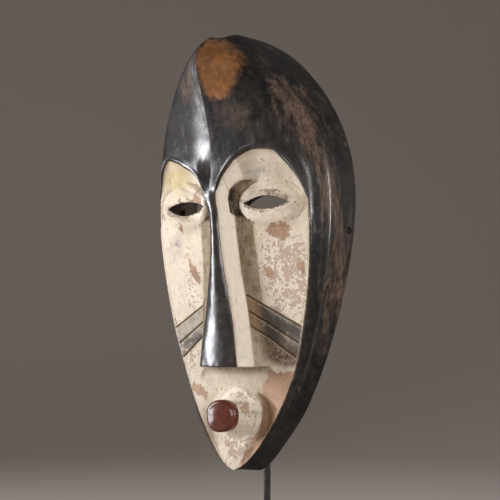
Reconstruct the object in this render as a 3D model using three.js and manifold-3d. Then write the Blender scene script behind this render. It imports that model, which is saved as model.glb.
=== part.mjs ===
// A carved wooden face mask, tall and egg-shaped, held up behind by a black steel rod on a foot plate.
// Millimetres, +Z up. The mask looks along -Y, and its left and right are those of someone facing it.
// The origin is the middle of the underside of the foot plate.

import * as THREE from 'three';
import { mergeVertices } from 'three/addons/utils/BufferGeometryUtils.js';
import Module from 'manifold-3d';

// Driving dimensions of the mask, in the mask's own frame:
// x to the right, z up from the chin, depth backwards from the root of the nose.
const MASK_HEIGHT = 405;
const REAR_HALF_WIDTH = 100.3;
const REAR_WIDEST_Z = 238;
const FACE_HALF_WIDTH = 88;
const FACE_WIDEST_Z = 226;
const CHIN_Z = -1;
const FACE_POINT_Z = -1.4;
const REAR_POINT_Z = -2.5;
const REAR_DEPTH = 72;
const REAR_LEAN = 0.091;
const WALL = 10.5;

// The arch that bounds the painted face, and the rows of the surface that follow it
const BROW_ROW = 254;
const SOCKET_ROW = 238;
const BROW_STEP = 3;
const LEFT_BROW_DROP = 4;

// The nose ends in a flat underside
const NOSE_BOTTOM = 94.5;
const LIP_ROW = NOSE_BOTTOM - 0.8;

// Three slanting grooves on each cheek
const GROOVE_ROWS = [133, 146.6, 161.6];
const GROOVE_HALF_WIDTH = 1.1;
const GROOVE_DEPTH = 1.3;
const GROOVE_FALL = { atFoot: 10, atEdge: 31 };

// Eyes, mouth and side holes
const EYE_Z = 244.5;
const RIGHT_EYE = { x: 47.5, halfLength: 23, upper: 6.6, lower: 6 };
const LEFT_EYE = { x: -46, halfLength: 25, upper: 6.6, lower: 8 };
const EYE_FLARE = { from: 26, to: 70, slope: 0.5 };
const EYE_MOUND = { x: 49, z: 245, length: 35, height: 21, bulge: 9.5 };
const MOUTH = { z: 49.5, knobRadius: 15, knobEdge: 5, knobFront: 13.5, knobBack: 24.5, neckRadius: 12.5,
  baseRadius: 24.5, coneBack: 43, rootDepth: 52 };
const TROUGH = { depth: 6.5, step: 5, fadesFrom: 30, outerRadius: 48, fullBelow: 58, top: 78 };
const SIDE_HOLE = { z: 220, depth: 84, radius: 3.5, from: 75, to: 115 };

// The stand
const BASE = { width: 140, length: 130, thickness: 12, bevel: 1.2 };
const CHIN_HEIGHT = 100;
const FRONT_Y = -55;
const ROD = { depth: 89.5, radius: 3.2, topZ: 222, socketDepth: 8 };
const ARM_RADIUS = 2.5;
const ARM_REACH = 96;
const CLEARANCE = 0.3;

const wasm = await Module();
wasm.setup();

// Small helpers

const mix = (a, b, t) => a + (b - a) * t;
const clamp01 = (t) => Math.min(Math.max(t, 0), 1);

function ease(from, to, value) {
  const t = clamp01((value - from) / (to - from));
  return t * t * (3 - 2 * t);
}

// A smooth line through a few [place, value] pairs that never overshoots them.
function profile(pairs) {
  const gaps = pairs.slice(1).map(([place], i) => place - pairs[i][0]);
  const slopes = pairs.slice(1).map(([, value], i) => (value - pairs[i][1]) / gaps[i]);
  const tangents = pairs.map((pair, i) => {
    const before = slopes[i - 1] ?? slopes[i];
    const after = slopes[i] ?? before;
    return before * after > 0 ? (2 * before * after) / (before + after) : 0;
  });
  return (place) => {
    const last = pairs.length - 1;
    if (place <= pairs[0][0]) return pairs[0][1];
    if (place >= pairs[last][0]) return pairs[last][1];
    const i = pairs.findLastIndex(([start]) => start <= place);
    const t = (place - pairs[i][0]) / gaps[i];
    const rise = gaps[i] * t * (1 - t) * (tangents[i] * (1 - t) - tangents[i + 1] * t);
    return mix(pairs[i][1], pairs[i + 1][1], t * t * (3 - 2 * t)) + rise;
  };
}

// Outlines seen from the front

// Half an egg below its widest height, closing at the chin.
const eggBelow = (z, half, widest, point) => {
  const t = clamp01((widest - z) / (widest - point));
  return half * (1 - t ** 1.7) ** (1 / 1.7);
};

// The rim at the back closes above in a blunt point.
function rearHalfWidth(z) {
  if (z < REAR_WIDEST_Z) return eggBelow(z, REAR_HALF_WIDTH, REAR_WIDEST_Z, REAR_POINT_Z);
  const t = clamp01((z - REAR_WIDEST_Z) / (MASK_HEIGHT - REAR_WIDEST_Z));
  return REAR_HALF_WIDTH * (1 - t ** 2.15) ** 0.85;
}

// The edge where the front turns into the side: the face's edge below, the turn of the dome above.
function edgeHalfWidth(z) {
  if (z < FACE_WIDEST_Z) return eggBelow(z, FACE_HALF_WIDTH, FACE_WIDEST_Z, FACE_POINT_Z);
  const flare = FACE_HALF_WIDTH - 0.0014 * (z - FACE_WIDEST_Z) ** 2;
  return Math.min(flare, 0.84 * rearHalfWidth(z) + 3.5 * (1 - ease(250, 330, z)));
}

// Depths seen from the side

const rearDepth = (z) => REAR_DEPTH + REAR_LEAN * z;
const edgeDepth = profile([[0, 39.5], [45, 43], [88, 45], [130, 42], [177, 38.5], [226, 34.5],
  [297, 33], [329, 27], [360, 18], [387, 13], [405, 16]]);
const crestDepth = profile([[254, -0.5], [268, -2.8], [282, -2.5], [296, 1.3], [318, -3.5], [343, -12],
  [366, -19.5], [380, -20.5], [391, -17], [399, -9], [405, 2]]);

// The dome has a keel in the middle and flat brows, and it turns back at the edge.
// across runs from 0 at the keel to 1 at the edge.
const VALLEY = { foot: 252, deepest: 272, end: 296, depth: 5.5 };
function domeDepth(across, z) {
  const bow = 0.18 * across + 0.82 * across ** 3.6;
  const opening = 0.06 + 0.004 * (z - VALLEY.foot);
  const run = ease(VALLEY.foot, VALLEY.deepest, z) * (1 - ease(VALLEY.deepest, VALLEY.end, z));
  const valley = VALLEY.depth * run * clamp01(1 - across / opening);
  return mix(crestDepth(z), edgeDepth(z), bow) + valley;
}

// The face: nose ridge, pale strip, nose wall and cheek meet along upright lines.

const ridgeX = profile([[95, 22], [133, 16.9], [165, 11.6], [197, 7.1], [232, 4.8], [254, 6.9]]);
const ridgeDepth = profile([[95, 13.3], [133, 13.8], [165, 12.1], [197, 9.5], [232, 6.1], [254, 0.8]]);
const ridgeCrown = profile([[95, 4.5], [165, 4], [221, 2.2], [254, 1.5]]);
const stripX = profile([[95, 31], [151, 23.8], [190, 17], [254, 15.5]]);
const stripDepth = profile([[95, 27.8], [151, 26], [190, 24.3], [228, 20], [254, 13]]);
const footX = profile([[95, 39], [151, 36.5], [190, 33], [228, 30], [254, 27]]);
const footDepth = profile([[95, 41], [151, 35.5], [190, 31.5], [228, 26.5], [254, 27]]);
const socketEdgeDepth = profile([[15, 12.5], [32, 16], [50, 19], [66, 26], [88, 34]]);
const lipDepth = profile([[0, 39.5], [20, 41], [50, 42], [95, 41]]);

// How far the arch stands above the nose root, for a place across the face.
const archRise = profile([[0.074, 0], [0.12, 9.5], [0.2, 20], [0.32, 31], [0.52, 37], [0.68, 34], [0.82, 22],
  [0.92, 9], [1, -9]]);

function eyeMound(x, z) {
  const r2 = ((x - EYE_MOUND.x) / EYE_MOUND.length) ** 2 + ((z - EYE_MOUND.z) / EYE_MOUND.height) ** 2;
  return EYE_MOUND.bulge * clamp01(1 - r2) ** 0.8;
}

// Below the nose the face rises to the mouth, and a trough on either side sets the mouth off.
function lowerFaceDepth(x, z) {
  const across = clamp01(x / Math.max(edgeHalfWidth(z), 1));
  const reach = Math.hypot(x, z - MOUTH.z);
  const outside = ease(MOUTH.baseRadius, MOUTH.baseRadius + TROUGH.step, reach);
  const drop = outside * (1 - ease(TROUGH.fadesFrom, TROUGH.outerRadius, reach));
  const low = 1 - ease(TROUGH.fullBelow, TROUGH.top, z);
  const trough = TROUGH.depth * drop * low * ease(8, 22, x) * (1 - ease(0.8, 1, across));
  return mix(lipDepth(z), edgeDepth(z), across ** 2) + trough;
}

// A point of half the surface. row is a nominal height. column runs from 0 on the middle line, by the nose
// ridge 1, the strip 2, the foot of the nose 3 and the face's edge 4, to 6 on the rear rim.
function surfacePoint(row, column, side) {
  const follow = row < BROW_ROW ? ease(200, BROW_ROW, row) : 1 - ease(BROW_ROW, 385, row);
  const calm = 1 - ease(165, 235, row);
  const fallAtFoot = GROOVE_FALL.atFoot * ease(NOSE_BOTTOM, 133, row) * calm;
  const fallAtEdge = GROOVE_FALL.atEdge * ease(CHIN_Z, 140, row) * calm;
  const edgeRow = row + archRise(1) * follow - fallAtEdge;
  const edge = edgeHalfWidth(edgeRow);
  const kneeRow = Math.min(row, BROW_ROW);
  const scale = row < BROW_ROW ? 1 : edge / edgeHalfWidth(BROW_ROW + archRise(1));
  const narrow = Math.min(1, edge / 60);
  const knots = [0, ridgeX(kneeRow), stripX(kneeRow), footX(kneeRow)]
    .map((x) => x * scale * (row < NOSE_BOTTOM ? narrow : 1));
  knots.push(edge);
  const back = clamp01((column - 4) / 2);
  const k = Math.min(Math.floor(column), 3);
  const t = Math.min(column - k, 1);
  const x = mix(knots[k], knots[k + 1], t);
  const across = edge > 0 ? x / edge : column / 4;
  const fall = mix(fallAtFoot * clamp01(column - 2), fallAtEdge, clamp01(column - 3));
  const dropLeft = side < 0 ? LEFT_BROW_DROP * ease(0.15, 0.55, across) * (1 - ease(0.9, 1, across)) : 0;
  const z = row + ((archRise(across) - dropLeft) * follow - fall) * (1 - back);
  if (column > 4) return sidePoint(edge, edgeDepth(edgeRow), z, back);
  if (row >= BROW_ROW) return { x, z, depth: domeDepth(across, z) };
  return { x, z, depth: faceDepth(row, k, t, x, z, across) };
}

// The side turns along a soft ridge before it reaches the rim.
function sidePoint(edge, frontDepth, z, back) {
  const rim = rearHalfWidth(z);
  const rimDepth = rearDepth(z);
  const ridge = { x: mix(edge, rim, 0.53), depth: mix(frontDepth, rimDepth, 0.4) };
  if (back < 0.5) {
    return { x: mix(edge, ridge.x, back * 2), z, depth: mix(frontDepth, ridge.depth, back * 2) };
  }
  return { x: mix(ridge.x, rim, back * 2 - 1), z, depth: mix(ridge.depth, rimDepth, back * 2 - 1) };
}

function faceDepth(row, k, t, x, z, across) {
  if (row < NOSE_BOTTOM) return lowerFaceDepth(x, z);
  const lowness = 1 - ease(NOSE_BOTTOM, 130, row);
  let depth;
  if (k === 0) depth = ridgeDepth(z) - ridgeCrown(z) * (1 - t ** 2);
  if (k === 1) depth = mix(ridgeDepth(z), stripDepth(z), t);
  if (k === 2) depth = mix(stripDepth(z), footDepth(z), t ** mix(1, 0.25, ease(222, 242, z)));
  if (k === 3) depth = mix(footDepth(z), edgeDepth(z), t);
  if (k >= 2) depth = mix(depth, lowerFaceDepth(x, z), lowness * (k === 2 ? t ** 2 : 1));
  if (k >= 2) depth -= eyeMound(x, z);
  const underBrow = k >= 2 ? ease(252, 268, z) * ease(24, 50, x) : 0;
  depth = mix(depth, socketEdgeDepth(x), underBrow);
  if (k >= 2) depth += grooveDepth(row) * ease(2, 2.15, k + t) * (1 - ease(3.85, 4, k + t));
  if (row <= SOCKET_ROW) return depth;
  const browDepth = domeDepth(across, z) + BROW_STEP * ease(1, 1.3, k + t) * (1 - ease(0.88, 1, across));
  const start = k >= 2 ? socketEdgeDepth(x) : depth;
  return mix(start, browDepth, ((row - SOCKET_ROW) / (BROW_ROW - SOCKET_ROW)) ** 1.2);
}

function grooveDepth(row) {
  const near = Math.min(...GROOVE_ROWS.map((groove) => Math.abs(row - groove)));
  return GROOVE_DEPTH * clamp01(1 - near / GROOVE_HALF_WIDTH);
}

// The crown is lowest at the front and highest in the middle.
const crownLift = profile([[0, -6], [12, -5], [45, 3.5], [80, 3.5], [110, 0]]);

// The underside of the chin falls a little to the back.
const chinFall = (z, depth) => 2.5 * ease(40, REAR_DEPTH, depth) * (1 - ease(0, 25, z));

// From the mask's frame to the part's
function place({ x, z, depth }) {
  const height = z + crownLift(depth) * ease(360, MASK_HEIGHT, z) - chinFall(z, depth);
  return [x, depth + FRONT_Y, height + CHIN_HEIGHT];
}

// Solids from closed rings of points

// Even steps from one value to another, without the last.
const steps = (from, to, count) => Array.from({ length: count }, (_, i) => mix(from, to, i / count));

// Rings run the same way round, and follow each other. Each square is split along its shorter diagonal.
// The first and last rings are closed by pairing their two halves.
function solidFromRings(rings) {
  const size = rings[0].length;
  const points = rings.flat();
  const gap = (a, b) => Math.hypot(...points[a].map((value, axis) => value - points[b][axis]));
  const index = [];
  for (let i = 0; i + 1 < rings.length; i += 1) {
    for (let j = 0; j < size; j += 1) {
      const a = i * size + j;
      const b = i * size + ((j + 1) % size);
      const [c, d] = [b + size, a + size];
      if (gap(a, c) < gap(b, d)) index.push(a, b, c, a, c, d);
      else index.push(a, b, d, b, c, d);
    }
  }
  const cap = (start, flip) => {
    for (let j = 0; j < Math.floor(size / 2); j += 1) {
      const [a, b, c, d] = [j, j + 1, size - 2 - j, size - 1 - j].map((n) => start + n);
      if (flip) index.push(a, c, b, a, d, c);
      else index.push(a, b, c, a, c, d);
    }
  };
  cap(0, true);
  cap((rings.length - 1) * size, false);
  const geometry = new THREE.BufferGeometry();
  geometry.setAttribute('position', new THREE.Float32BufferAttribute(points.flat(), 3));
  geometry.setIndex(index);
  return toSolid(geometry);
}

// A closed solid of a geometry, with shared corners merged and flat triangles dropped.
function toSolid(source) {
  const bare = source.clone();
  bare.deleteAttribute('normal');
  bare.deleteAttribute('uv');
  const merged = mergeVertices(bare, 1e-4);
  const index = [...merged.index.array];
  const triVerts = [];
  for (let i = 0; i < index.length; i += 3) {
    const [a, b, c] = index.slice(i, i + 3);
    if (a !== b && b !== c && c !== a) triVerts.push(a, b, c);
  }
  const mesh = new wasm.Mesh({
    numProp: 3,
    vertProperties: new Float32Array(merged.attributes.position.array),
    triVerts: new Uint32Array(triVerts),
  });
  return new wasm.Manifold(mesh);
}

function toGeometry(solid) {
  const mesh = solid.getMesh();
  const geometry = new THREE.BufferGeometry();
  geometry.setAttribute('position', new THREE.BufferAttribute(new Float32Array(mesh.vertProperties), 3));
  geometry.setIndex([...mesh.triVerts]);
  geometry.computeVertexNormals();
  return geometry;
}

// The mask

function outerSolid() {
  const grooves = GROOVE_ROWS.flatMap((row) => [row - GROOVE_HALF_WIDTH, row, row + GROOVE_HALF_WIDTH]);
  const rows = [
    ...steps(CHIN_Z, LIP_ROW, 18), LIP_ROW, NOSE_BOTTOM, 108, 120, ...grooves, 140, 154,
    ...steps(170, SOCKET_ROW - 0.8, 8), SOCKET_ROW - 0.8, SOCKET_ROW, 246, BROW_ROW - 0.05,
    ...steps(BROW_ROW, 300, 6), ...steps(300, 380, 7), ...steps(380, MASK_HEIGHT, 6), MASK_HEIGHT,
  ].sort((a, b) => a - b);
  const columns = [
    ...steps(0, 1, 3), ...steps(1, 2, 2), ...steps(2, 3, 3), ...steps(3, 4, 7), ...steps(4, 6, 4), 6,
  ];
  const rings = rows.map((row) => [
    ...columns.slice(1).reverse().map((column) => {
      const point = surfacePoint(row, column, -1);
      return place({ ...point, x: -point.x });
    }),
    ...columns.map((column) => place(surfacePoint(row, column, 1))),
  ]);
  return solidFromRings(rings);
}

// The hollow at the back, open to the rear and rounded at both ends
// Its level sections are superellipses, and so is its run to either end.
const HOLLOW = { low: 12, high: 388, past: 4, sectionPower: 2.8, endPower: 5 };
const hollowFront = profile([[12, 60], [51, 60], [95, 54], [151, 47.5], [200, 41], [228, 36], [255, 35.5],
  [275, 28], [300, 17], [330, 9], [360, 2], [388, 4]]);

function hollowSolid() {
  const middle = (HOLLOW.low + HOLLOW.high) / 2;
  const half = (HOLLOW.high - HOLLOW.low) / 2;
  const heights = steps(-1, 1, 22).concat(1).map((t) => middle + half * Math.sin((t * Math.PI) / 2));
  const turns = steps(0, Math.PI, 20).concat(Math.PI);
  const rings = heights.map((z) => {
    const end = (1 - (Math.abs(z - middle) / half) ** HOLLOW.endPower) ** (1 / HOLLOW.endPower) || 0;
    const width = Math.max(rearHalfWidth(z) - WALL, 0) * end;
    const reach = (rearDepth(z) - hollowFront(z)) * end;
    const bend = 2 / HOLLOW.sectionPower;
    const section = turns.map((turn) => {
      const x = -Math.sign(Math.cos(turn)) * width * Math.abs(Math.cos(turn)) ** bend;
      return { x, z, depth: rearDepth(z) - reach * Math.sin(turn) ** bend };
    });
    const behind = rearDepth(z) + HOLLOW.past;
    return [{ x: -width, z, depth: behind }, ...section, { x: width, z, depth: behind }].map(place);
  });
  return solidFromRings(rings);
}

// An almond hole through an eye, wider behind than in front
function eyeCutter(eye) {
  const turns = steps(-1, 1, 8);
  const rings = [0, EYE_FLARE.from, EYE_FLARE.to].map((depth) => {
    const grow = Math.max(depth - EYE_FLARE.from, 0) * EYE_FLARE.slope;
    const length = eye.halfLength + grow;
    const upper = turns.map((t) => [length * t, (eye.upper + grow / 2) * (1 - t * t)]);
    const lower = turns.map((t) => [-length * t, -(eye.lower + grow / 2) * (1 - t * t)]);
    return [...upper, ...lower].map(([x, z]) => place({ x: eye.x + x, z: EYE_Z + z, depth }));
  });
  return solidFromRings(rings);
}

// The mouth: a thick domed knob on a cone with hollow flanks, turned about a level axis
function mouthSolid() {
  const { knobRadius, knobEdge, knobFront, knobBack, neckRadius, baseRadius, coneBack, rootDepth } = MOUTH;
  const crown = 1.5;
  const dome = steps(0, Math.PI / 2, 4).concat(Math.PI / 2).map((turn) => new THREE.Vector2(
    knobRadius - knobEdge + knobEdge * Math.sin(turn),
    knobFront + knobEdge - knobEdge * Math.cos(turn),
  ));
  const flank = steps(0, 1, 4).concat(1).map((t) => new THREE.Vector2(
    mix(neckRadius, baseRadius, t ** 1.35),
    mix(knobBack, coneBack, t),
  ));
  const outline = [
    new THREE.Vector2(0, knobFront - crown), ...dome, new THREE.Vector2(knobRadius, knobBack),
    ...flank, new THREE.Vector2(baseRadius + 1, rootDepth), new THREE.Vector2(0, rootDepth),
  ];
  const turned = new THREE.LatheGeometry(outline, 28);
  turned.translate(0, FRONT_Y, MOUTH.z + CHIN_HEIGHT);
  return toSolid(turned);
}

// A round bar between two points
function roundBar(start, end, radius, sides) {
  const from = new THREE.Vector3(...start);
  const to = new THREE.Vector3(...end);
  const bar = new THREE.CylinderGeometry(radius, radius, from.distanceTo(to), sides);
  const direction = to.clone().sub(from).normalize();
  bar.applyQuaternion(new THREE.Quaternion().setFromUnitVectors(new THREE.Vector3(0, 1, 0), direction));
  bar.translate(...from.add(to).multiplyScalar(0.5));
  return toSolid(bar);
}

function maskSolid() {
  const holeY = SIDE_HOLE.depth + FRONT_Y;
  const holeZ = SIDE_HOLE.z + CHIN_HEIGHT;
  const hole = (side) => roundBar(
    [side * SIDE_HOLE.from, holeY, holeZ],
    [side * SIDE_HOLE.to, holeY, holeZ],
    SIDE_HOLE.radius,
    16,
  );
  return outerSolid().add(mouthSolid()).subtract(hollowSolid())
    .subtract(eyeCutter(LEFT_EYE)).subtract(eyeCutter(RIGHT_EYE))
    .subtract(hole(-1)).subtract(hole(1));
}

// The rod stands in the foot plate. Its cross arm ends in the side holes, and the mask hangs on it.
function rodSolid() {
  const rodY = ROD.depth + FRONT_Y;
  const foot = [0, rodY, BASE.thickness - ROD.socketDepth + CLEARANCE];
  const armZ = SIDE_HOLE.z + CHIN_HEIGHT + SIDE_HOLE.radius - ARM_RADIUS - CLEARANCE;
  const armY = SIDE_HOLE.depth + FRONT_Y;
  const upright = roundBar(foot, [0, rodY, ROD.topZ + CHIN_HEIGHT], ROD.radius, 24);
  const link = roundBar([0, rodY, armZ], [0, armY - 1, armZ], ARM_RADIUS, 16);
  const arm = roundBar([-ARM_REACH, armY, armZ], [ARM_REACH, armY, armZ], ARM_RADIUS, 16);
  return upright.add(link).add(arm);
}

// The foot plate has small bevels and a blind hole for the rod.
function baseSolid() {
  const { width, length, thickness, bevel } = BASE;
  const outline = new THREE.Shape();
  const halfX = width / 2 - bevel;
  const halfY = length / 2 - bevel;
  outline.moveTo(-halfX, -halfY).lineTo(halfX, -halfY).lineTo(halfX, halfY).lineTo(-halfX, halfY);
  const plate = new THREE.ExtrudeGeometry(outline, {
    depth: thickness - 2 * bevel, bevelSize: bevel, bevelThickness: bevel, bevelSegments: 1,
  });
  plate.translate(0, 0, bevel);
  const socketY = ROD.depth + FRONT_Y;
  const socket = roundBar([0, socketY, thickness - ROD.socketDepth], [0, socketY, thickness + 1],
    ROD.radius + CLEARANCE, 24);
  return toSolid(plate).subtract(socket);
}

function piece(name, solid, color, roughness, metalness) {
  const material = new THREE.MeshStandardMaterial({ color, roughness, metalness });
  const mesh = new THREE.Mesh(toGeometry(solid), material);
  mesh.name = name;
  return mesh;
}

const mahongweMask = new THREE.Group();
mahongweMask.name = 'mahongwe_mask_on_stand';
mahongweMask.add(
  piece('mask', maskSolid(), '#6b5a48', 0.6, 0),
  piece('stand_rod', rodSolid(), '#1d1c1c', 0.5, 0.6),
  piece('stand_base', baseSolid(), '#1d1c1c', 0.5, 0.6),
);

export default mahongweMask;
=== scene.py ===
"""A Mahongwe mask on its stand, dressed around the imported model.

The carving is one closed shell in millimetres of the mask's own frame: x to the right, z up from the chin,
depth backwards from the root of the nose. It is placed in metres in the part's frame when its mesh is made.
Right and left are those of someone who faces the mask.
"""

import math
from collections import namedtuple

import bpy
import numpy as np
from bpy.props import FloatProperty, FloatVectorProperty, PointerProperty
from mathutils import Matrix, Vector


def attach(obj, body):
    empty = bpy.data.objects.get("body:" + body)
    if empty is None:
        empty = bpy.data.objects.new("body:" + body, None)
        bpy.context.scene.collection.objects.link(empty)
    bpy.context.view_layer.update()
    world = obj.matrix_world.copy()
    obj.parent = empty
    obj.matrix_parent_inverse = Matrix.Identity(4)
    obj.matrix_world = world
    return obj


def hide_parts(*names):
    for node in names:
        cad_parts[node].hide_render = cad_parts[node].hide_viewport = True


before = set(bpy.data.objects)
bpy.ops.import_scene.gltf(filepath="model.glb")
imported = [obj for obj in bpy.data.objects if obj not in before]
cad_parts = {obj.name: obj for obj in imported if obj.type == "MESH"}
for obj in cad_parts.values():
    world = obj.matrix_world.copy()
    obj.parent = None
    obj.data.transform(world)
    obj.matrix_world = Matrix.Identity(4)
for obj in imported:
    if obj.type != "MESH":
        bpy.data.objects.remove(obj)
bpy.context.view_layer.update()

bl_info = {
    "name": "Mahongwe mask on a stand",
    "version": (1, 0, 0),
    "blender": (4, 5, 0),
    "location": "3D View > Sidebar > Mask",
    "description": "Carves, paints and stages a mask with a domed brow, a long nose and a knobbed mouth",
    "category": "Add Mesh",
}

# Where the mask stands in the part, in millimetres
FRONT_Y = -55.0
CHIN_HEIGHT = 100.0

# The mask's driving dimensions, in millimetres
MASK_HEIGHT = 405.0
REAR_HALF_WIDTH = 100.3
REAR_WIDEST_Z = 238.0
FACE_HALF_WIDTH = 88.0
FACE_WIDEST_Z = 226.0
CHIN_Z = -1.0
TOP_ROW = 404.9
REAR_DEPTH = 72.0
REAR_LEAN = 0.091
SIDE_RIDGE = {"out": 0.53, "back": 0.4}
WALL = 10.5

# The arch over the face, the socket under it, and the nose's flat underside
BROW_ROW = 254.0
STEP_ROW = 253.95
SOCKET_ROW = 238.0
BROW_STEP = 3.0
LEFT_BROW_DROP = 8.0
NOSE_BOTTOM = 94.5
LIP_ROW = 93.7

# Cheek grooves, eyes, mouth, the trough beside it, the notch beside the nose, side holes and hollow. A key of
# 1 is the right side and -1 the left
GROOVE_ROWS = (133.0, 146.6, 161.6)
GROOVE = {"depth": 1.7, "half_width": 1.15, "ridge": 0.35, "fall_at_foot": 10.0, "fall_at_edge": 31.0}
EYE_Z = 244.5
EYES = {
    1: {"x": 47.5, "half_length": 23.0, "upper": 6.6, "lower": 6.0},
    -1: {"x": 46.0, "half_length": 25.0, "upper": 5.2, "lower": 8.0},
}
MOUND = {"x": 49.0, "z": 245.0, "half_length": 35.0, "half_height": 21.0, "bulge": 9.5}
POCKET = {"half_length": 31.0, "half_height": 20.5, "depth": 4.2}
SLIT = {"front": -10.0, "widens": 26.0, "back": 70.0, "steps": 28}
MOUTH = {
    "z": 49.5, "radius": 15.0, "edge": 5.0, "front": 13.5, "back": 24.8, "neck": 12.5,
    "base": 24.5, "cone_back": 43.0, "root": 52.0, "dome": 1.5, "collar": 2.8, "sides": 96,
    "power": 2.7, "squared": 0.55,
}
TROUGH = {1: 6.5, -1: 3.5}
NOTCH_X = (12.1, 13.4)
SIDE_HOLE = {"z": 220.0, "depth": 84.0, "radius": 3.5, "from": 75.0, "to": 115.0}
HOLLOW = {
    "low": 12.0, "high": 388.0, "past": 4.0, "flare": 1.6, "power": 2.8, "end_power": 5,
    "rings": 74, "columns": 72,
}

# Tool marks: the size of the bumps in millimetres, their seed, and their heights
ADZE = {"size": (14, 14, 24), "seed": 3, "on_black": 0.55, "on_cream": 0.4}
KNIFE = {"size": (4.5, 4.5, 7), "seed": 5, "plain": 0.12, "hammered": 0.22}
GOUGE = {"size": (9, 9, 20), "seed": 11}
WOBBLE = {"size": 6, "seed": 8, "height": (0.15, -0.1, 0.15)}

# The stand
BASE = {"width": 140.0, "length": 130.0, "thickness": 12.0, "bevel": 1.2, "corner": 3.0}
ROD = {"depth": 89.5, "radius": 3.2, "top_z": 222.0, "socket": 8.0}
ARM = {"radius": 2.5, "reach": 96.0}
CLEARANCE = 0.3
BAR_SIDES = 40

# The mesh: millimetres of girth for each column past the face's edge, the column where the rim's tool marks
# are half as high, and the least angle that stays sharp
FLANK_COLUMN = 20.0
RIM_COLUMN = 5.98
SHARP_ANGLE = math.radians(38)

# Worn and stained places, and a painted shadow beside the mouth, as outlines in millimetres: girth from the
# middle line, and height above the chin
OCHRE = [[(3, 403), (12, 397), (27, 382), (34, 371), (35, 362), (33, 352), (27, 344), (18, 339), (8, 340),
          (4, 348), (1.5, 366), (0.5, 385)]]
STREAKS = [
    [(47, 364), (60, 363), (76, 357), (92, 330), (105, 294), (117, 256), (122, 220), (118, 150), (102, 110),
     (98, 138), (104, 200), (101, 232), (93, 266), (80, 294), (66, 318), (56, 340)],
    [(0, 388), (-14, 378), (-26, 360), (-32, 343), (-16, 336), (-2, 346)],
    [(-62, 352), (-80, 340), (-98, 300), (-112, 250), (-119, 200), (-112, 150), (-102, 150), (-100, 210),
     (-88, 270), (-72, 318)],
]
HAZE = [[(7, 340), (32, 340), (50, 331), (45, 310), (26, 306), (6, 314)]]
BARE = [
    [(42, 221), (48, 225), (57, 227), (65, 227), (69, 222), (66, 214), (61, 209), (54, 211), (48, 214)],
    [(38, 186), (45, 187), (49, 181), (47, 174), (40, 176)],
    [(73, 188), (79, 190), (82, 181), (77, 176)],
    [(36, 90), (65, 91), (61, 80), (56, 68), (48, 52), (38, 35), (22, 13), (8, 1), (6, 5), (14, 18), (21, 30),
     (26, 42), (29, 52), (28, 66), (31, 80)],
    [(-51, 194), (-43, 190), (-37, 180), (-37, 172), (-43, 174), (-50, 180)],
    [(-60, 227), (-55, 228), (-56, 222), (-61, 223)],
    [(-55, 79), (-44, 76), (-36, 70), (-38, 65), (-47, 66), (-55, 71)],
    [(-38, 257), (-31, 258), (-25, 254), (-24, 248), (-34, 249)],
]
FLAKING = [
    [(39, 205), (56, 214), (80, 210), (87, 182), (80, 153), (64, 140), (46, 148), (36, 174)],
    [(-60, 175), (-44, 182), (-38, 160), (-52, 152)],
    [(34, 194), (50, 196), (56, 180), (52, 166), (38, 164)],
    [(-64, 110), (-48, 112), (-44, 98), (-58, 92)],
    [(-10, 28), (8, 32), (15, 20), (6, 4), (-6, 8)],
]
GREYED = [
    [(-76, 214), (-62, 220), (-58, 204), (-70, 196)],
    [(-62, 150), (-50, 156), (-44, 144), (-56, 138)],
    [(30, 128), (44, 128), (48, 112), (36, 104)],
    [(24, 277), (40, 282), (50, 276), (42, 268), (26, 268)],
    [(-12, 24), (6, 31), (17, 24), (10, 9), (-4, 9)],
    [(19, 108), (26, 107), (27, 96), (22, 95)],
    [(49, 107), (69, 106), (66, 92), (54, 91)],
]
# Soot and dirt; the first outline is a painted shadow in the trough right of the mouth's collar
DIRT_AND_SHADOW = [
    [(24, 70), (35, 63), (45, 56), (40, 42), (31, 32), (21, 27), (26, 38), (28, 50), (27, 62)],
    [(46, 150), (53, 150), (57, 126), (56, 99), (47, 98)],
    [(34, 124), (52, 128), (68, 110), (68, 96), (54, 94), (36, 101)],
    [(12, 16), (18, 20), (17, 12), (9, 5)],
]
FADED = [
    [(-90, 100), (-60, 122), (-20, 132), (-20, 168), (-60, 158), (-90, 132)],
    [(50, 112), (64, 106), (68, 118), (54, 124)],
]
YELLOWED = [[(-72, 286), (-32, 286), (-30, 264), (-56, 258), (-80, 266)]]
PATCHES = {
    "ochre": (OCHRE, 8.0), "streak": (STREAKS, 14.0), "haze": (HAZE, 9.0), "bare": (BARE, 4.0),
    "flaking": (FLAKING, 9.0), "greyed": (GREYED, 4.0), "dirt": (DIRT_AND_SHADOW, 4.0), "faded": (FADED, 7.0),
    "yellowed": (YELLOWED, 9.0),
}
CARVED = ("row", "column", "cream", "lid", "crease", "mound", "polish", "edge")
FIELDS = (*CARVED, *PATCHES)

# What the paint finds on the mouth, where the mound's share lays pale painted light on the cone, and its
# stains: a patch, its place, its size and its share
MOUTH_FIELDS = {"row": MOUTH["z"], "column": 2.8, "cream": 8.0, "mound": 0.6, "known": 1.0}
MOUTH_STAINS = (("bare", 16, 4, 7, 0.55), ("dirt", 18, -13, 10, 0.22), ("flaking", 12, 14, 9, 1))

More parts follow.
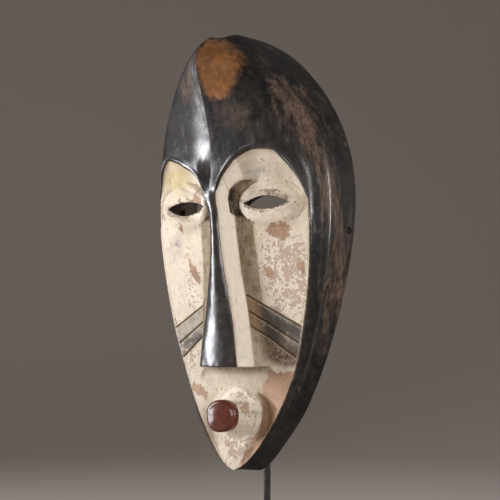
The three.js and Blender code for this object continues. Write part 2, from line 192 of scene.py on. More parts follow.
# The stage, in metres, watts and degrees
Light = namedtuple("Light", "label where power spot aim size colour spread")
LIGHTS = {
    "window": Light("Key light", "before the mask's left cheek", 10.8, (-1.35, -0.98, 0.87), (0, 0, 0.6),
                    (0.7, 1.4), (0.95, 0.95, 1.0), 90),
    "glow": Light("Glow", "under the mask's left side", 0.4, (-0.6, -0.5, 0.07), (0, 0, 0.45),
                  (0.22, 0.22), (0.96, 0.97, 1.0), 60),
    "fill": Light("Fill light", "beside the camera", 8.5, (1.75, -1.2, 0.8), (0, 0, 0.6),
                  (1.8, 1.3), (1.0, 0.97, 0.94), 90),
    "rim": Light("Rim light", "behind the mask's right side", 1.9, (1.65, 0.84, 0.7), (0, 0, 0.45),
                 (0.12, 0.9), (1.0, 0.99, 0.98), 70),
    "backdrop": Light("Backdrop light", "on the floor before the mask", 7, (0.1, -1.7, 1.2),
                      (0.15, -3.4, 0.3), (2.4, 1.0), (1.0, 0.97, 0.94), 130),
}
AIR = {"colour": (1.0, 0.97, 0.94, 1), "strength": 0.17}
FLOOR = {"flat": 1.3, "bowl": 3.2, "turn": 1.25, "sides": 96, "drop": 0.0002}
CAMERA = {
    "spot": (0.8195, -1.0802, 0.224), "direction": (-0.6008, 0.7972, 0.0591),
    "lens": 103.25, "sensor": 36.0, "reach": 20.0,
}


# Small maths


def mix(a, b, t):
    """The value a share t of the way from a to b."""
    return a + (b - a) * t


def along(start, end, value):
    """The share of the way that a value has come from start to end, from 0 to 1."""
    return np.clip((value - start) / (end - start), 0, 1)


def ease(start, end, value):
    """A smooth step from 0 at start to 1 at end: 3 t squared less 2 t cubed."""
    t = along(start, end, value)
    return t * t * (3 - 2 * t)


def fade(start, end, value):
    """A smooth step down from 1 at start to 0 at end."""
    return 1 - ease(start, end, value)


def between(start, full, last, end, value):
    """A smooth step up from start to full, and down again from last to end."""
    return ease(start, full, value) * fade(last, end, value)


def bell(value, middle, width):
    """A bump of height 1: e to the minus of the squared distance from the middle in widths."""
    return np.exp(-(((value - middle) / width) ** 2))


def profile(*pairs):
    """A smooth line through a few (place, value) pairs: cubic pieces whose slopes at the pairs are the
    harmonic mean of the slopes on either side, so it never overshoots them."""
    places, values = np.array(pairs, float).T
    gaps = np.diff(places)
    slopes = np.diff(values) / gaps
    before = np.append(slopes[0], slopes)
    after = np.append(slopes, slopes[-1])
    same = before * after > 0
    tangents = np.where(same, 2 * before * after / np.where(same, before + after, 1), 0)

    def line(place):
        place = np.clip(place, places[0], places[-1])
        i = np.clip(np.searchsorted(places, place, "right") - 1, 0, len(gaps) - 1)
        t = (place - places[i]) / gaps[i]
        rise = gaps[i] * t * (1 - t) * (tangents[i] * (1 - t) - tangents[i + 1] * t)
        return mix(values[i], values[i + 1], ease(0, 1, t)) + rise

    return line


def lumps(points, size, seed):
    """Smooth seeded bumps from -1 to 1: random values on a lattice of that size, blended between corners."""
    lattice = np.random.default_rng(seed).uniform(-1, 1, (32, 32, 32))
    spot = points / np.asarray(size, float)
    base = np.floor(spot).astype(int)
    t = ease(0, 1, spot - base)
    total = np.zeros(points.shape[:-1])
    for corner in np.ndindex(2, 2, 2):
        weight = np.prod(np.where(np.array(corner) == 1, t, 1 - t), axis=-1)
        x, y, z = np.moveaxis((base + corner) % 32, -1, 0)
        total += weight * lattice[x, y, z]
    return total


def inside_distance(outline, u, v):
    """How far each place lies inside an outline, less than 0 outside: the least distance to its edges, with
    the sign from how often a level line from the place crosses them."""
    start = np.array(outline, float)
    end = np.roll(start, -1, axis=0)
    least = np.full(u.shape, 1e9)
    crossings = np.zeros(u.shape, int)
    for (u0, v0), (u1, v1) in zip(start, end):
        share = ((u - u0) * (u1 - u0) + (v - v0) * (v1 - v0)) / ((u1 - u0) ** 2 + (v1 - v0) ** 2)
        share = np.clip(share, 0, 1)
        least = np.minimum(least, np.hypot(u - mix(u0, u1, share), v - mix(v0, v1, share)))
        if v1 != v0:
            crossings += ((v0 > v) != (v1 > v)) & (u < mix(u0, u1, (v - v0) / (v1 - v0)))
    return np.where(crossings % 2 == 1, least, -least)


# The carving's lines


def egg_below(z, half, widest, point):
    """Half an egg below its widest height: a superellipse of power 1.7 that closes at the point, and is up to
    9 % narrower towards the chin."""
    t = along(widest, point, z)
    return half * (1 - t**1.7) ** (1 / 1.7) * (1 - 0.09 * fade(0, 58, z))


def rear_half_width(z):
    """The rim at the back: an egg below, and a blunt point above."""
    t = along(REAR_WIDEST_Z, MASK_HEIGHT, z)
    above = REAR_HALF_WIDTH * (1 - t**2.15) ** 0.85
    return np.where(z < REAR_WIDEST_Z, egg_below(z, REAR_HALF_WIDTH, REAR_WIDEST_Z, -2.5), above)


def edge_half_width(z):
    """Where the front turns into the side: the face's egg below, and above it the lesser of a parabola and a
    share of the rear rim, which is let out a little low on the dome."""
    flare = FACE_HALF_WIDTH - 0.0014 * (z - FACE_WIDEST_Z) ** 2
    above = np.minimum(flare, 0.84 * rear_half_width(z) + 3.5 * fade(250, 330, z))
    return np.where(z < FACE_WIDEST_Z, egg_below(z, FACE_HALF_WIDTH, FACE_WIDEST_Z, -1.4), above)


def rear_depth(z):
    """The plane of the rear rim, which leans back a little."""
    return REAR_DEPTH + REAR_LEAN * z


edge_depth = profile((0, 36.5), (20, 39), (45, 42.3), (88, 45), (130, 42), (177, 38.5), (226, 34.5),
                     (297, 33), (329, 27), (360, 18), (387, 13), (405, 16))
crest_depth = profile((254, -0.5), (268, -2.8), (282, -2.5), (296, 1.3), (318, -3.5), (343, -12),
                      (366, -19.5), (380, -20.5), (391, -17), (399, -9), (405, 2))
ridge_x = profile((95, 22), (133, 16.9), (165, 11.6), (197, 7.1), (232, 4.8), (254, 6.9))
ridge_depth = profile((95, 13.3), (133, 13.8), (165, 12.1), (197, 9.5), (232, 6.1), (254, 0.8))
ridge_crown = profile((95, 4.5), (165, 4), (221, 2.2), (254, 1.5))
strip_x = profile((95, 31), (151, 23.8), (190, 16.8), (228, 14), (254, 13.4))
strip_depth = profile((95, 27.8), (151, 26), (190, 24.3), (228, 20), (254, 13))
foot_x = profile((95, 39), (151, 36.5), (190, 33), (228, 30), (254, 27))
foot_depth = profile((95, 41), (151, 35.5), (190, 31.5), (228, 26.5), (254, 27))
socket_edge_depth = profile((15, 12.5), (32, 16), (50, 19), (66, 26), (88, 34))
lip_depth = profile((0, 36.5), (20, 39.5), (50, 42), (95, 41))
arch_rise = profile((0.074, 0), (0.12, 9.5), (0.2, 20), (0.32, 31.5), (0.52, 39), (0.68, 38), (0.82, 27),
                    (0.92, 12), (1, -9))
crown_lift = profile((0, -6), (12, -5), (45, 3.5), (80, 3.5), (110, 0))
hollow_front = profile((12, 60), (51, 60), (95, 54), (151, 47.5), (200, 41), (228, 36), (255, 35.5),
                       (275, 28), (300, 17), (330, 9), (360, 2), (388, 4))


def dome_depth(across, z):
    """The dome: from the crest to the edge along a curve that turns back late, and a valley over the nose."""
    keel = mix(0.25, 0.42, ease(300, 350, z))
    bow = keel * across + 0.1 * across**2 + (0.9 - keel) * across**4.6
    opening = np.maximum(0.06 + 0.004 * (z - 252), 1e-3)
    valley = 5.5 * between(252, 272, 272, 296, z) * np.clip(1 - across / opening, 0, 1)
    return mix(crest_depth(z), edge_depth(z), bow) + valley


def mound_reach(x, z, shape=MOUND):
    """How far out from the middle of an eye's mound: 1 on the ellipse with a shape's half sizes."""
    return np.hypot((x - MOUND["x"]) / shape["half_length"], (z - MOUND["z"]) / shape["half_height"])


def eye_mound(x, z):
    """The bulge around an eye: an ellipse's height, one less its squared reach to the power 0.8."""
    return MOUND["bulge"] * np.clip(1 - mound_reach(x, z) ** 2, 0, 1) ** 0.8


def lower_face_depth(x, z, side):
    """The face below the nose, with a trough beside the mouth's cone that fades upwards and to the edge, and
    is shallower on the left."""
    across = np.clip(x / np.maximum(edge_half_width(z), 1), 0, 1)
    reach = np.hypot(x, z - MOUTH["z"])
    drop = between(MOUTH["base"] + 2.5, MOUTH["base"] + 6, 31, 48, reach)
    trough = TROUGH[side] * drop * fade(58, 78, z) * ease(8, 22, x) * fade(0.8, 1, across)
    return mix(lip_depth(z), edge_depth(z), across**2) + trough


def nose_and_cheek_depth(row, k, t, x, z, across, side):
    """Above the nose's underside: the nose ridge, the pale strip, the nose's wall and the cheek, each a
    straight blend between its upright lines, with the eye's mound, and the hollow under the brow rising to
    its step."""
    outer = k >= 2
    ridge = ridge_depth(z) - ridge_crown(z) * (1 - t**2)
    strip = mix(ridge_depth(z), strip_depth(z), t)
    wall = mix(strip_depth(z), foot_depth(z), t ** mix(1, 0.25, ease(222, 242, z)))
    cheek = mix(foot_depth(z), edge_depth(z), t)
    depth = np.select([k == 0, k == 1, k == 2], [ridge, strip, wall], cheek)
    lowness = fade(NOSE_BOTTOM, 130, row) * np.where(k == 2, t**2, 1)
    depth = np.where(outer, mix(depth, lower_face_depth(x, z, side), lowness) - eye_mound(x, z), depth)
    under_brow = np.where(outer, ease(252, 268, z) * ease(24, 50, x), 0)
    depth = mix(depth, socket_edge_depth(x), under_brow)
    brow = dome_depth(across, z) + BROW_STEP * ease(1, 1.3, k + t) * fade(0.88, 1, across)
    start = np.where(outer, socket_edge_depth(x), depth)
    rise = along(SOCKET_ROW, BROW_ROW, row) ** 1.2
    return np.where(row > SOCKET_ROW, mix(start, brow, rise), depth)


def step_shares(row):
    """How far a row has come over the two narrow steps: the nose's underside, and the brow's."""
    return along(LIP_ROW, NOSE_BOTTOM, row), along(STEP_ROW, BROW_ROW, row)


def half_surface(row, column, side):
    """One half of the shell. row is a nominal height that follows the arch and falls across the cheek. column
    runs from the middle line 0 by the nose ridge's edge 1, the strip's edge 2, the nose's foot 3, the face's
    edge 4 and the side's ridge 5 to the rear rim 6, and back to the middle at 7. Returns x, depth, z, the
    face's half width and the share of the way across it."""
    row, column = np.broadcast_arrays(np.asarray(row, float), np.asarray(column, float))
    follow = np.where(row < BROW_ROW, ease(200, BROW_ROW, row), fade(BROW_ROW, 385, row))
    calm = fade(165, 235, row)
    fall_at_foot = GROOVE["fall_at_foot"] * ease(NOSE_BOTTOM, 133, row) * calm
    fall_at_edge = GROOVE["fall_at_edge"] * ease(CHIN_Z, 140, row) * calm
    edge_row = row + arch_rise(1) * follow - fall_at_edge
    edge = edge_half_width(edge_row)
    knee = np.minimum(row, BROW_ROW)
    scale = np.where(row < BROW_ROW, 1, edge / edge_half_width(BROW_ROW + arch_rise(1)))
    scale = scale * np.where(row < NOSE_BOTTOM, np.minimum(1, edge / 60), 1)
    knots = np.stack([0 * row, ridge_x(knee) * scale, strip_x(knee) * scale, foot_x(knee) * scale, edge])
    k = np.clip(np.floor(column), 0, 3).astype(int)
    t = np.clip(column - k, 0, 1)
    x = mix(np.take_along_axis(knots, k[None], 0)[0], np.take_along_axis(knots, k[None] + 1, 0)[0], t)
    across = x / np.maximum(edge, 1e-6)
    back = along(4, 6, column)
    fall = mix(fall_at_foot * along(2, 3, column), fall_at_edge, along(3, 4, column))
    drop = LEFT_BROW_DROP * between(0.12, 0.36, 0.45, 0.8, across) if side < 0 else 0
    z = row + ((arch_rise(across) - drop) * follow - fall) * (1 - back)
    under, step = step_shares(row)
    nose = nose_and_cheek_depth(np.clip(row, NOSE_BOTTOM, STEP_ROW), k, t, x, z, across, side)
    depth = mix(mix(lower_face_depth(x, z, side), nose, under), dome_depth(across, z), step)
    rim, rim_depth, front = rear_half_width(z), rear_depth(z), edge_depth(edge_row)
    fore, aft = along(0, 0.5, back), along(0.5, 1, back)
    flank_x = mix(mix(edge, mix(edge, rim, SIDE_RIDGE["out"]), fore), rim, aft)
    flank_depth = mix(mix(front, mix(front, rim_depth, SIDE_RIDGE["back"]), fore), rim_depth, aft)
    x = np.where(column > 4, flank_x, x) * (1 - along(6, 7, column))
    depth = np.where(column > 4, flank_depth, depth)
    return x, depth, z, edge, across


def place(x, depth, z):
    """From the mask's frame to the part's, in millimetres: depth lifts the crown and lowers the chin."""
    lift = crown_lift(depth) * ease(360, MASK_HEIGHT, z)
    fall = 2.5 * ease(40, REAR_DEPTH, depth) * fade(0, 25, z)
    return np.stack(np.broadcast_arrays(x, depth + FRONT_Y, z + lift - fall + CHIN_HEIGHT), -1)


# The mask's mesh


def stations(*runs):
    """Places from runs of (from, to, count, crowding): even steps, drawn to both ends by the crowding."""
    spots = []
    for start, end, count, crowding in runs:
        t = np.arange(count) / count
        t = t - crowding * np.sin(2 * np.pi * t) / (2 * np.pi)
        spots.append(start + (end - start) * t)
    return np.append(np.concatenate(spots), runs[-1][1])


def carving_rows():
    """Row heights: even, closer at the nose's underside, the grooves, the brow's step and the crown."""
    grooves = np.concatenate([groove + np.linspace(-2.4, 2.4, 15) for groove in GROOVE_ROWS])
    runs = stations(
        (CHIN_Z, LIP_ROW, 72, 0.2), (LIP_ROW, NOSE_BOTTOM, 20, 0.6), (NOSE_BOTTOM, 130.4, 26, 0.3),
        (130.4, 164.2, 14, 0), (164.2, SOCKET_ROW, 58, 0), (SOCKET_ROW, STEP_ROW, 20, 0.5),
        (STEP_ROW, BROW_ROW, 4, 0), (BROW_ROW, 272, 18, 0.3), (272, 380, 66, 0), (380, TOP_ROW, 24, 0.3),
    )
    plain = runs[np.abs(runs[:, None] - np.array(GROOVE_ROWS)).min(1) > 2.8]
    return np.sort(np.concatenate([plain, grooves]))


def carving_columns():
    """Column places: closer at the edges of the nose ridge, the strip, the face and the rim."""
    return stations((0, 1, 12, 0.3), (1, 2, 12, 0.5), (2, 3, 11, 0.3), (3, 4, 38, 0.25), (4, 5, 16, 0.3),
                    (5, 6, 16, 0.5), (6, 6.12, 6, 0), (6.12, 7, 3, 0))


def both_sides(right, left):
    """Rings of the whole shell from its two halves: the left backwards without its ends, then the right."""
    return np.concatenate([left[:, -2:0:-1], right], axis=1)


def soften(points, passes):
    """Rounds every sharp fold a little: each point moves towards the middle of its neighbours along the ring
    and across the rings, a quarter of the way each time. The first and last rings stay."""
    for _ in range(passes):
        points = points / 2 + (np.roll(points, 1, 1) + np.roll(points, -1, 1)) / 4
        points[1:-1] = points[1:-1] / 2 + (points[:-2] + points[2:]) / 4
    return points


def grid_normals(points):
    """Outward normals of rings of points: the cross product of the steps along and across the rings."""
    onwards = np.roll(points, -1, 1) - np.roll(points, 1, 1)
    normal = np.cross(onwards, np.gradient(points, axis=0))
    return normal / np.maximum(np.linalg.norm(normal, axis=-1, keepdims=True), 1e-9)


def ring_faces(rings, size):
    """Squares between closed rings that run the same way round."""
    first = np.arange(rings - 1)[:, None] * size
    here = np.arange(size)[None]
    there = (here + 1) % size
    squares = [first + here, first + there, first + size + there, first + size + here]
    return np.stack(squares, -1).reshape(-1, 4)


def closed_shell(rings):
    """A solid from rings of points: squares between them, and a fan of triangles over the first and last."""
    count, size = rings.shape[:2]
    around = np.arange(1, size - 1)
    fan = np.stack([np.zeros_like(around), around, around + 1], -1)
    return rings.reshape(-1, 3), [ring_faces(count, size), fan[:, ::-1], fan + (count - 1) * size]


def once_round(count):
    """Even angles from 0 once round."""
    return np.linspace(0, 2 * np.pi, count, endpoint=False)[None]


def paired_caps(start, size, flip):
    """Closes a ring across its two halves: squares between mirrored points and a triangle at either end."""
    half = size // 2
    left, right = start + half - 1 - np.arange(1, half), start + half - 1 + np.arange(1, half)
    squares = np.stack([left[1:], left[:-1], right[:-1], right[1:]], -1)
    ends = np.array([[left[0], start + half - 1, right[0]], [left[-1], right[-1], start + size - 1]])
    return (squares[:, ::-1], ends[:, ::-1]) if flip else (squares, ends)


def eye_relief(x, z, side):
    """How far the lids stand back from or before the mound: a dish towards the slit, a thin raised edge on
    it, and a fine line round the mound's outer end. Also returns how much the lids' paint is worn."""
    eye = EYES[side]
    dx, dz = x - eye["x"], z - EYE_Z
    half = np.where(dz > 0, eye["upper"], eye["lower"])
    almond = (np.abs(dz) + np.sqrt(dz**2 + (2 * half * dx / eye["half_length"]) ** 2)) / (2 * half)
    dish = 2.6 * fade(0.5, 1.0, np.hypot(dx / (eye["half_length"] + 3), dz / 12))
    border = mound_reach(x, z)
    line = bell(border, 1.02, 0.05) * ease(58, 72, x) - 0.9 * bell(border, 0.82, 0.09)
    lip = 1.6 * bell(almond, 1.22, 0.2) - 1.1 * bell(almond, 1.9, 0.28)
    outwards = side * dx / eye["half_length"]
    upper = (dz > 0) * ease(-0.5, 0.2, outwards) * fade(1.15, 1.9, almond)
    lower = (dz <= 0) * fade(-0.2, 0.6, outwards) * fade(1.25, 1.6, almond)
    worn = 0.8 * np.maximum(upper, lower) * fade(1.0, 1.2, np.abs(outwards))
    fold = 0.75 * bell(almond, 1.75, 0.12) * (dz > 0) * fade(0.7, 1.0, np.abs(outwards))
    near_slit = np.exp(-np.maximum(almond - 1, 0) * half / 2.2)
    return dish + line - lip, np.maximum.reduce([worn, fold, near_slit])


def pocket_relief(x, z):
    """The crescent slot between the nose and the mound's inner end, and the mound's rounded edge beside it,
    both about an ellipse. Also returns the painted shade in the slot and under the mound's lower edge, with
    the thin dark line round its outer end, and the mound."""
    border, outer_border = mound_reach(x, z, POCKET), mound_reach(x, z)
    inwards = (MOUND["x"] - x) / POCKET["half_length"]
    inner = ease(0.2, 0.45, inwards) * between(228, 236, 264, 268, z)
    limit = 1.1 + 0.17 * ease(0.3, 0.95, inwards)
    slot = between(0.99, 1.06, limit - 0.07, limit, border) * inner
    relief = POCKET["depth"] * slot - 2.2 * bell(border, 0.88, 0.09) * inner
    outer = 0.5 * bell(outer_border, 1.02, 0.035) * ease(60, 74, x)
    under = 0.8 * bell(border, 1.03, 0.035) * ease(0.2, 0.6, inwards) * fade(232, 240, z)
    shaded = slot * (0.5 + 0.5 * ease(1.04, 1.16, border)) * (1 - 0.55 * ease(252, 264, z))
    mound = fade(0.97, 1.03, np.where(x < MOUND["x"], border, outer_border))
    return relief, np.maximum.reduce([shaded, outer, under]), mound


def groove_relief(row, column):
    """The cheek's three grooves, rounded at the bottom, each with a low ridge along its underside."""
    offset = row[..., None] - np.array(GROOVE_ROWS)
    near = np.abs(offset).min(-1)
    cut = GROOVE["depth"] * np.clip(1 - (near / GROOVE["half_width"]) ** 2, 0, 1)
    ridge = GROOVE["ridge"] * bell(offset, -1.8, 0.6).sum(-1)
    return (cut - ridge) * between(2, 2.12, 3.9, 4, column)


def polish(row, column, x, z):
    """Where hands have polished the black: the nose, the crest with more on its left, the arch's rim, and the
    edges of the face and the side, each as a bell across its line."""
    nose = (column < 1) * (row > NOSE_BOTTOM) * fade(252, 256, row)
    high = ease(300, 370, z)
    crest = bell(x, -8 + 3 * high, 9 - 4 * high) * ease(254, 258, row) * (1 - 0.7 * ease(345, 385, z))
    rim = bell(row, BROW_ROW + 2.5, 3) * (column < 4)
    edges = np.maximum(bell(column, 4.05, 0.09), bell(column, 5, 0.07)) * between(70, 120, 250, 320, row)
    return np.maximum.reduce([nose, crest, rim, edges])


def carve_half(row, column, side, sizes):
    """A half of the shell with its finer carving, and what the paint follows: its row, column, girth from the
    middle line, and how far each place lies inside the cream paint, all in millimetres but the column."""
    x, depth, z, edge, across = half_surface(row, column, side)
    rows, columns = np.broadcast_arrays(row, column)
    on_cheek = between(2.4, 2.9, 3.85, 4, columns) * fade(SOCKET_ROW, 250, rows)
    notch = ease(0, 0.9, x - mix(*NOTCH_X, ease(246, 256, z)))
    lids, lid = eye_relief(x, z, side)
    slot, crease, mound = pocket_relief(x, z)
    back = groove_relief(rows, columns) * sizes.groove
    back = back + (lids * on_cheek + slot * notch * fade(248, 253, rows)) * sizes.lids
    back = back - 0.5 * bell(columns, 5, 0.06) * between(20, 60, 250, 300, rows)
    back = back - 1.1 * bell(columns, 4.05, 0.07) * between(10, 60, 225, 250, rows)
    bead = bell(rows, BROW_ROW + 2.5, 2.0) * fade(0.85, 1, across) * ease(0.03, 0.12, across)
    back = back - 0.9 * bead * (columns < 4)
    strip_width = np.hypot(strip_x(rows) - ridge_x(rows), strip_depth(rows) - ridge_depth(rows))
    under, step = step_shares(rows)
    over_step = -BROW_STEP * step - (rows - BROW_ROW) * (step >= 1)
    below_arch = np.where(rows < STEP_ROW, (STEP_ROW - rows) * 0.9, over_step)
    past_edge = (columns - 4) * FLANK_COLUMN
    within_edge = np.where(columns < 4, edge - x, -past_edge) - 1.2 * fade(60, 130, rows)
    off_ridge = np.where(columns > 1, (columns - 1) * strip_width, -(1 - columns) * ridge_x(rows))
    off_ridge = np.where(rows < NOSE_BOTTOM, np.maximum(off_ridge, (1 - under) * 27 - 1.5), off_ridge)
    follows = {
        "row": rows, "column": columns, "height": z, "lid": lid * on_cheek,
        "girth": side * np.where(columns > 4, edge + past_edge, x),
        "cream": np.minimum.reduce([below_arch, within_edge, off_ridge]),
        # Painted shade in the slot beside the nose and under the mound's edge
        "crease": crease * notch * (columns < 4),
        "mound": mound * (columns > 2) * (columns < 4),
        "polish": polish(rows, columns, x * side, z),
    }
    return place(x * side, depth, z), back, follows


def carved_shell(sizes):
    """The outer shell: its softened rings, moved along their normals by the relief, by long shallow facets of
    the adze and by small knife marks. Returns points, faces and what the paint follows."""
    row, column = carving_rows()[:, None], carving_columns()[None]
    right_points, right_back, right = carve_half(row, column, 1, sizes)
    left_points, left_back, left = carve_half(row, column, -1, sizes)
    rings = soften(both_sides(right_points, left_points), 3)
    follows = {name: both_sides(right[name], left[name]) for name in right}
    back = both_sides(right_back, left_back)
    flat = rings.reshape(-1, 3)
    adze, knife = (lumps(flat, tool["size"], tool["seed"]).reshape(back.shape) for tool in (ADZE, KNIFE))
    on_face = ease(-1, 2, follows["cream"])
    near_crest = 0.8 * fade(2, 3.5, follows["column"])
    hammered = (1 - on_face) * np.where(follows["row"] < BROW_ROW, follows["column"] < 1.1, near_crest)
    relief = adze * mix(ADZE["on_black"], ADZE["on_cream"], on_face)
    relief = relief + knife * (KNIFE["plain"] + KNIFE["hammered"] * hammered)
    out = relief * sizes.marks * ease(-0.5, 0.5, RIM_COLUMN - follows["column"]) - back
    out[[0, -1]] = 0
    normals = grid_normals(rings)
    follows["edge"] = ((rings - soften(rings, 6)) * normals).sum(-1)
    points = rings + normals * out[..., None]
    size = rings.shape[1]
    low, high = paired_caps(0, size, True), paired_caps((len(rings) - 1) * size, size, False)
    return points.reshape(-1, 3), [ring_faces(len(rings), size), *low, *high], follows


def turned_mouth():
    """The mouth: a profile of (radius, depth) turned about a level axis: a domed knob, a neck, and a flank
    that widens as the power 1.35 of its run, with a little wobble so that it looks cut by hand. The knob is
    partly squared and faces a little to the right, and the flank is wider and has a collar on the right. Also
    returns how many of the first faces are the knob's."""
    radius, edge, front, neck, base = (MOUTH[name] for name in ("radius", "edge", "front", "neck", "base"))
    crown = np.linspace(0, 1, 8)[1:]
    turn = np.linspace(0, np.pi / 2, 9)[1:]
    flank = np.linspace(0, 1, 26)
    parts = [
        np.stack([(radius - edge) * crown, front - MOUTH["dome"] * (1 - crown**2)], -1),
        np.stack([radius - edge + edge * np.sin(turn), front + edge - edge * np.cos(turn)], -1),
        np.array([[radius, 20.5], [radius, 22.5], [radius - 0.4, 24.1], [radius - 1.4, 24.6]]),
        np.stack([mix(neck, base, flank**1.35), mix(MOUTH["back"], MOUTH["cone_back"], flank)], -1),
        np.array([[base + 1, MOUTH["root"]]]),
    ]
    line = np.concatenate(parts)
    knob_rings = sum(len(part) for part in parts[:3])
    size = MOUTH["sides"]
    angle = once_round(size)
    reach = line[:, :1] * (1 + 0.012 * np.sin(3 * angle + 1) + 0.008 * np.sin(5 * angle))
    power, tilted = MOUTH["power"], angle - 0.15
    square = (np.abs(np.cos(tilted)) ** power + np.abs(np.sin(tilted)) ** power) ** (-1 / power)
    is_knob = np.arange(len(line))[:, None] < knob_rings
    reach = reach * np.where(is_knob, mix(1, square, MOUTH["squared"]), 1)
    turned = 0.1 * reach * np.cos(angle) * is_knob
    rightness = ease(-0.4, 0.5, np.cos(angle - 0.2))
    collar = MOUTH["collar"] * bell(line[:, :1], base - 1.4, 1.4) * (line[:, 1:] > 30) * rightness
    reach = reach * (1 + 0.14 * rightness * along(neck, base, line[:, :1]) * ~is_knob)
    points = place(reach * np.cos(angle), line[:, 1:] - collar + turned, MOUTH["z"] + reach * np.sin(angle))
    points = points + lumps(points, WOBBLE["size"], WOBBLE["seed"])[..., None] * WOBBLE["height"]
    tips = place(np.zeros(2), np.array([front - MOUTH["dome"], MOUTH["root"]]), np.full(2, MOUTH["z"]))
    count = len(line) * size
    around = np.arange(size)
    after = (around + 1) % size
    last = count - size
    front_fan = np.stack([np.full(size, count), around, after], -1)
    back_fan = np.stack([np.full(size, count + 1), last + after, last + around], -1)
    faces = [ring_faces(len(line), size)[:, ::-1], front_fan, back_fan]
    return np.concatenate([points.reshape(-1, 3), tips]), faces, knob_rings * size


def hollow_shell():
    """The hollow: level superellipses of power 2.8 whose width and reach close at both ends as a superellipse
    of power 5, open to the rear, with shallow gouge marks and a little flare at the rim."""
    middle, half = (HOLLOW["low"] + HOLLOW["high"]) / 2, (HOLLOW["high"] - HOLLOW["low"]) / 2
    z = (middle + half * np.sin(np.linspace(-1, 1, HOLLOW["rings"]) * np.pi / 2))[:, None]
    end = np.clip(1 - (np.abs(z - middle) / half) ** HOLLOW["end_power"], 0, 1) ** (1 / HOLLOW["end_power"])
    end = np.maximum(end, 0.02)
    width = np.maximum(rear_half_width(z) - WALL, 0.5) * end
    reach = (rear_depth(z) - hollow_front(z)) * end
    turn = np.linspace(0, np.pi, HOLLOW["columns"])[None]
    power = 2 / HOLLOW["power"]
    fore = reach * np.abs(np.sin(turn)) ** power
    x = -np.sign(np.cos(turn)) * width * np.abs(np.cos(turn)) ** power
    x = x + np.sign(x) * HOLLOW["flare"] * np.exp(-fore / 1.5)
    section = place(x, rear_depth(z) - fore, z)
    marks = lumps(section, GOUGE["size"], GOUGE["seed"]) * ease(1, 12, fore)
    inward = section - place(0 * z, rear_depth(z), z)
    length = np.maximum(np.linalg.norm(inward, axis=-1, keepdims=True), 1)
    section = section + inward / length * marks[..., None]
    ends = [place(sign * (width + HOLLOW["flare"]), rear_depth(z) + HOLLOW["past"], z) for sign in (-1, 1)]
    return closed_shell(np.concatenate([ends[0], section, ends[1]], axis=1))


def eye_slit(side):
    """The slit: an almond of two parabolas carried backwards, which widens behind the lids."""
    eye = EYES[side]
    depth = np.array([SLIT["front"], SLIT["widens"], SLIT["back"]])[:, None]
    grow = np.maximum(depth - SLIT["widens"], 0) * 0.5
    t = np.linspace(-1, 1, SLIT["steps"], endpoint=False)[None]
    length = eye["half_length"] + grow
    x = np.concatenate([length * t, -length * t], 1)
    upper, lower = ((eye[lid] + grow / 2) * (1 - t**2) for lid in ("upper", "lower"))
    rings = place(side * eye["x"] + x, depth + 0 * x, EYE_Z + np.concatenate([upper, -lower], 1))
    return closed_shell(rings)


def round_bar(start, end, line):
    """A profile of (share of the way, radius) turned about the line from start to end, closed at both
    ends."""
    start, end = np.array(start, float), np.array(end, float)
    axis = (end - start) / np.linalg.norm(end - start)
    across = np.cross(axis, [0.0, 0.0, 1.0] if abs(axis[2]) < 0.9 else [1.0, 0.0, 0.0])
    across /= np.linalg.norm(across)
    over = np.cross(axis, across)
    angle = once_round(BAR_SIDES).T
    circle = np.cos(angle) * across + np.sin(angle) * over
    share, radius = np.array(line, float).T[..., None, None]
    return closed_shell(start + (end - start) * share + circle * radius)


def plate_shell():
    """The foot plate: rounded oblongs, each a point on a quarter circle at every corner, stacked along a
    bevel."""
    bevel, high, corner = BASE["bevel"], BASE["thickness"], BASE["corner"]
    turn = np.linspace(0, np.pi / 2, 6)
    lean = np.concatenate([bevel * (1 - np.sin(turn)), bevel * (1 - np.cos(turn))])[:, None]
    z = np.concatenate([bevel * (1 - np.cos(turn)), high - bevel + bevel * np.sin(turn)])[:, None]
    angle = (np.linspace(0, np.pi / 2, 8)[None] + np.arange(4)[:, None] * np.pi / 2).ravel()[None]
    quadrant = np.repeat(np.arange(4), 8)[None]
    sign_x, sign_y = np.where((quadrant == 0) | (quadrant == 3), 1, -1), np.where(quadrant < 2, 1, -1)
    x = sign_x * (BASE["width"] / 2 - corner) + (corner - lean) * np.cos(angle)
    y = sign_y * (BASE["length"] / 2 - corner) + (corner - lean) * np.sin(angle)
    return closed_shell(np.stack(np.broadcast_arrays(x, y, z), -1))


def floor_shell():
    """The studio floor, in millimetres: a flat disc whose edge runs up as a round bowl."""
    turn = np.linspace(0.02, FLOOR["turn"], 40)
    flat, bowl = FLOOR["flat"], FLOOR["bowl"]
    radius = np.concatenate([np.linspace(0.01, flat, 12), flat + bowl * np.sin(turn)])[:, None]
    height = np.concatenate([np.zeros(12), bowl * (1 - np.cos(turn))])[:, None]
    angle = once_round(FLOOR["sides"])
    rings = np.stack(np.broadcast_arrays(radius * np.cos(angle), radius * np.sin(angle), height), -1)
    points, (squares, cap, _) = closed_shell(rings)
    return (points - [0, 0, FLOOR["drop"]]) * 1000, [squares[:, ::-1], cap[:, ::-1]]


# Blender objects and meshes


def add_object(name, data, spot=(0, 0, 0), direction=None):
    """An object in the scene at a spot in metres. A light or camera is turned to look in a direction."""
    obj = bpy.data.objects.new(name, data)
    obj.location = spot
    if direction is not None:
        obj.rotation_euler = Vector(direction).to_track_quat("-Z", "Y").to_euler()
    bpy.context.scene.collection.objects.link(obj)
    return obj


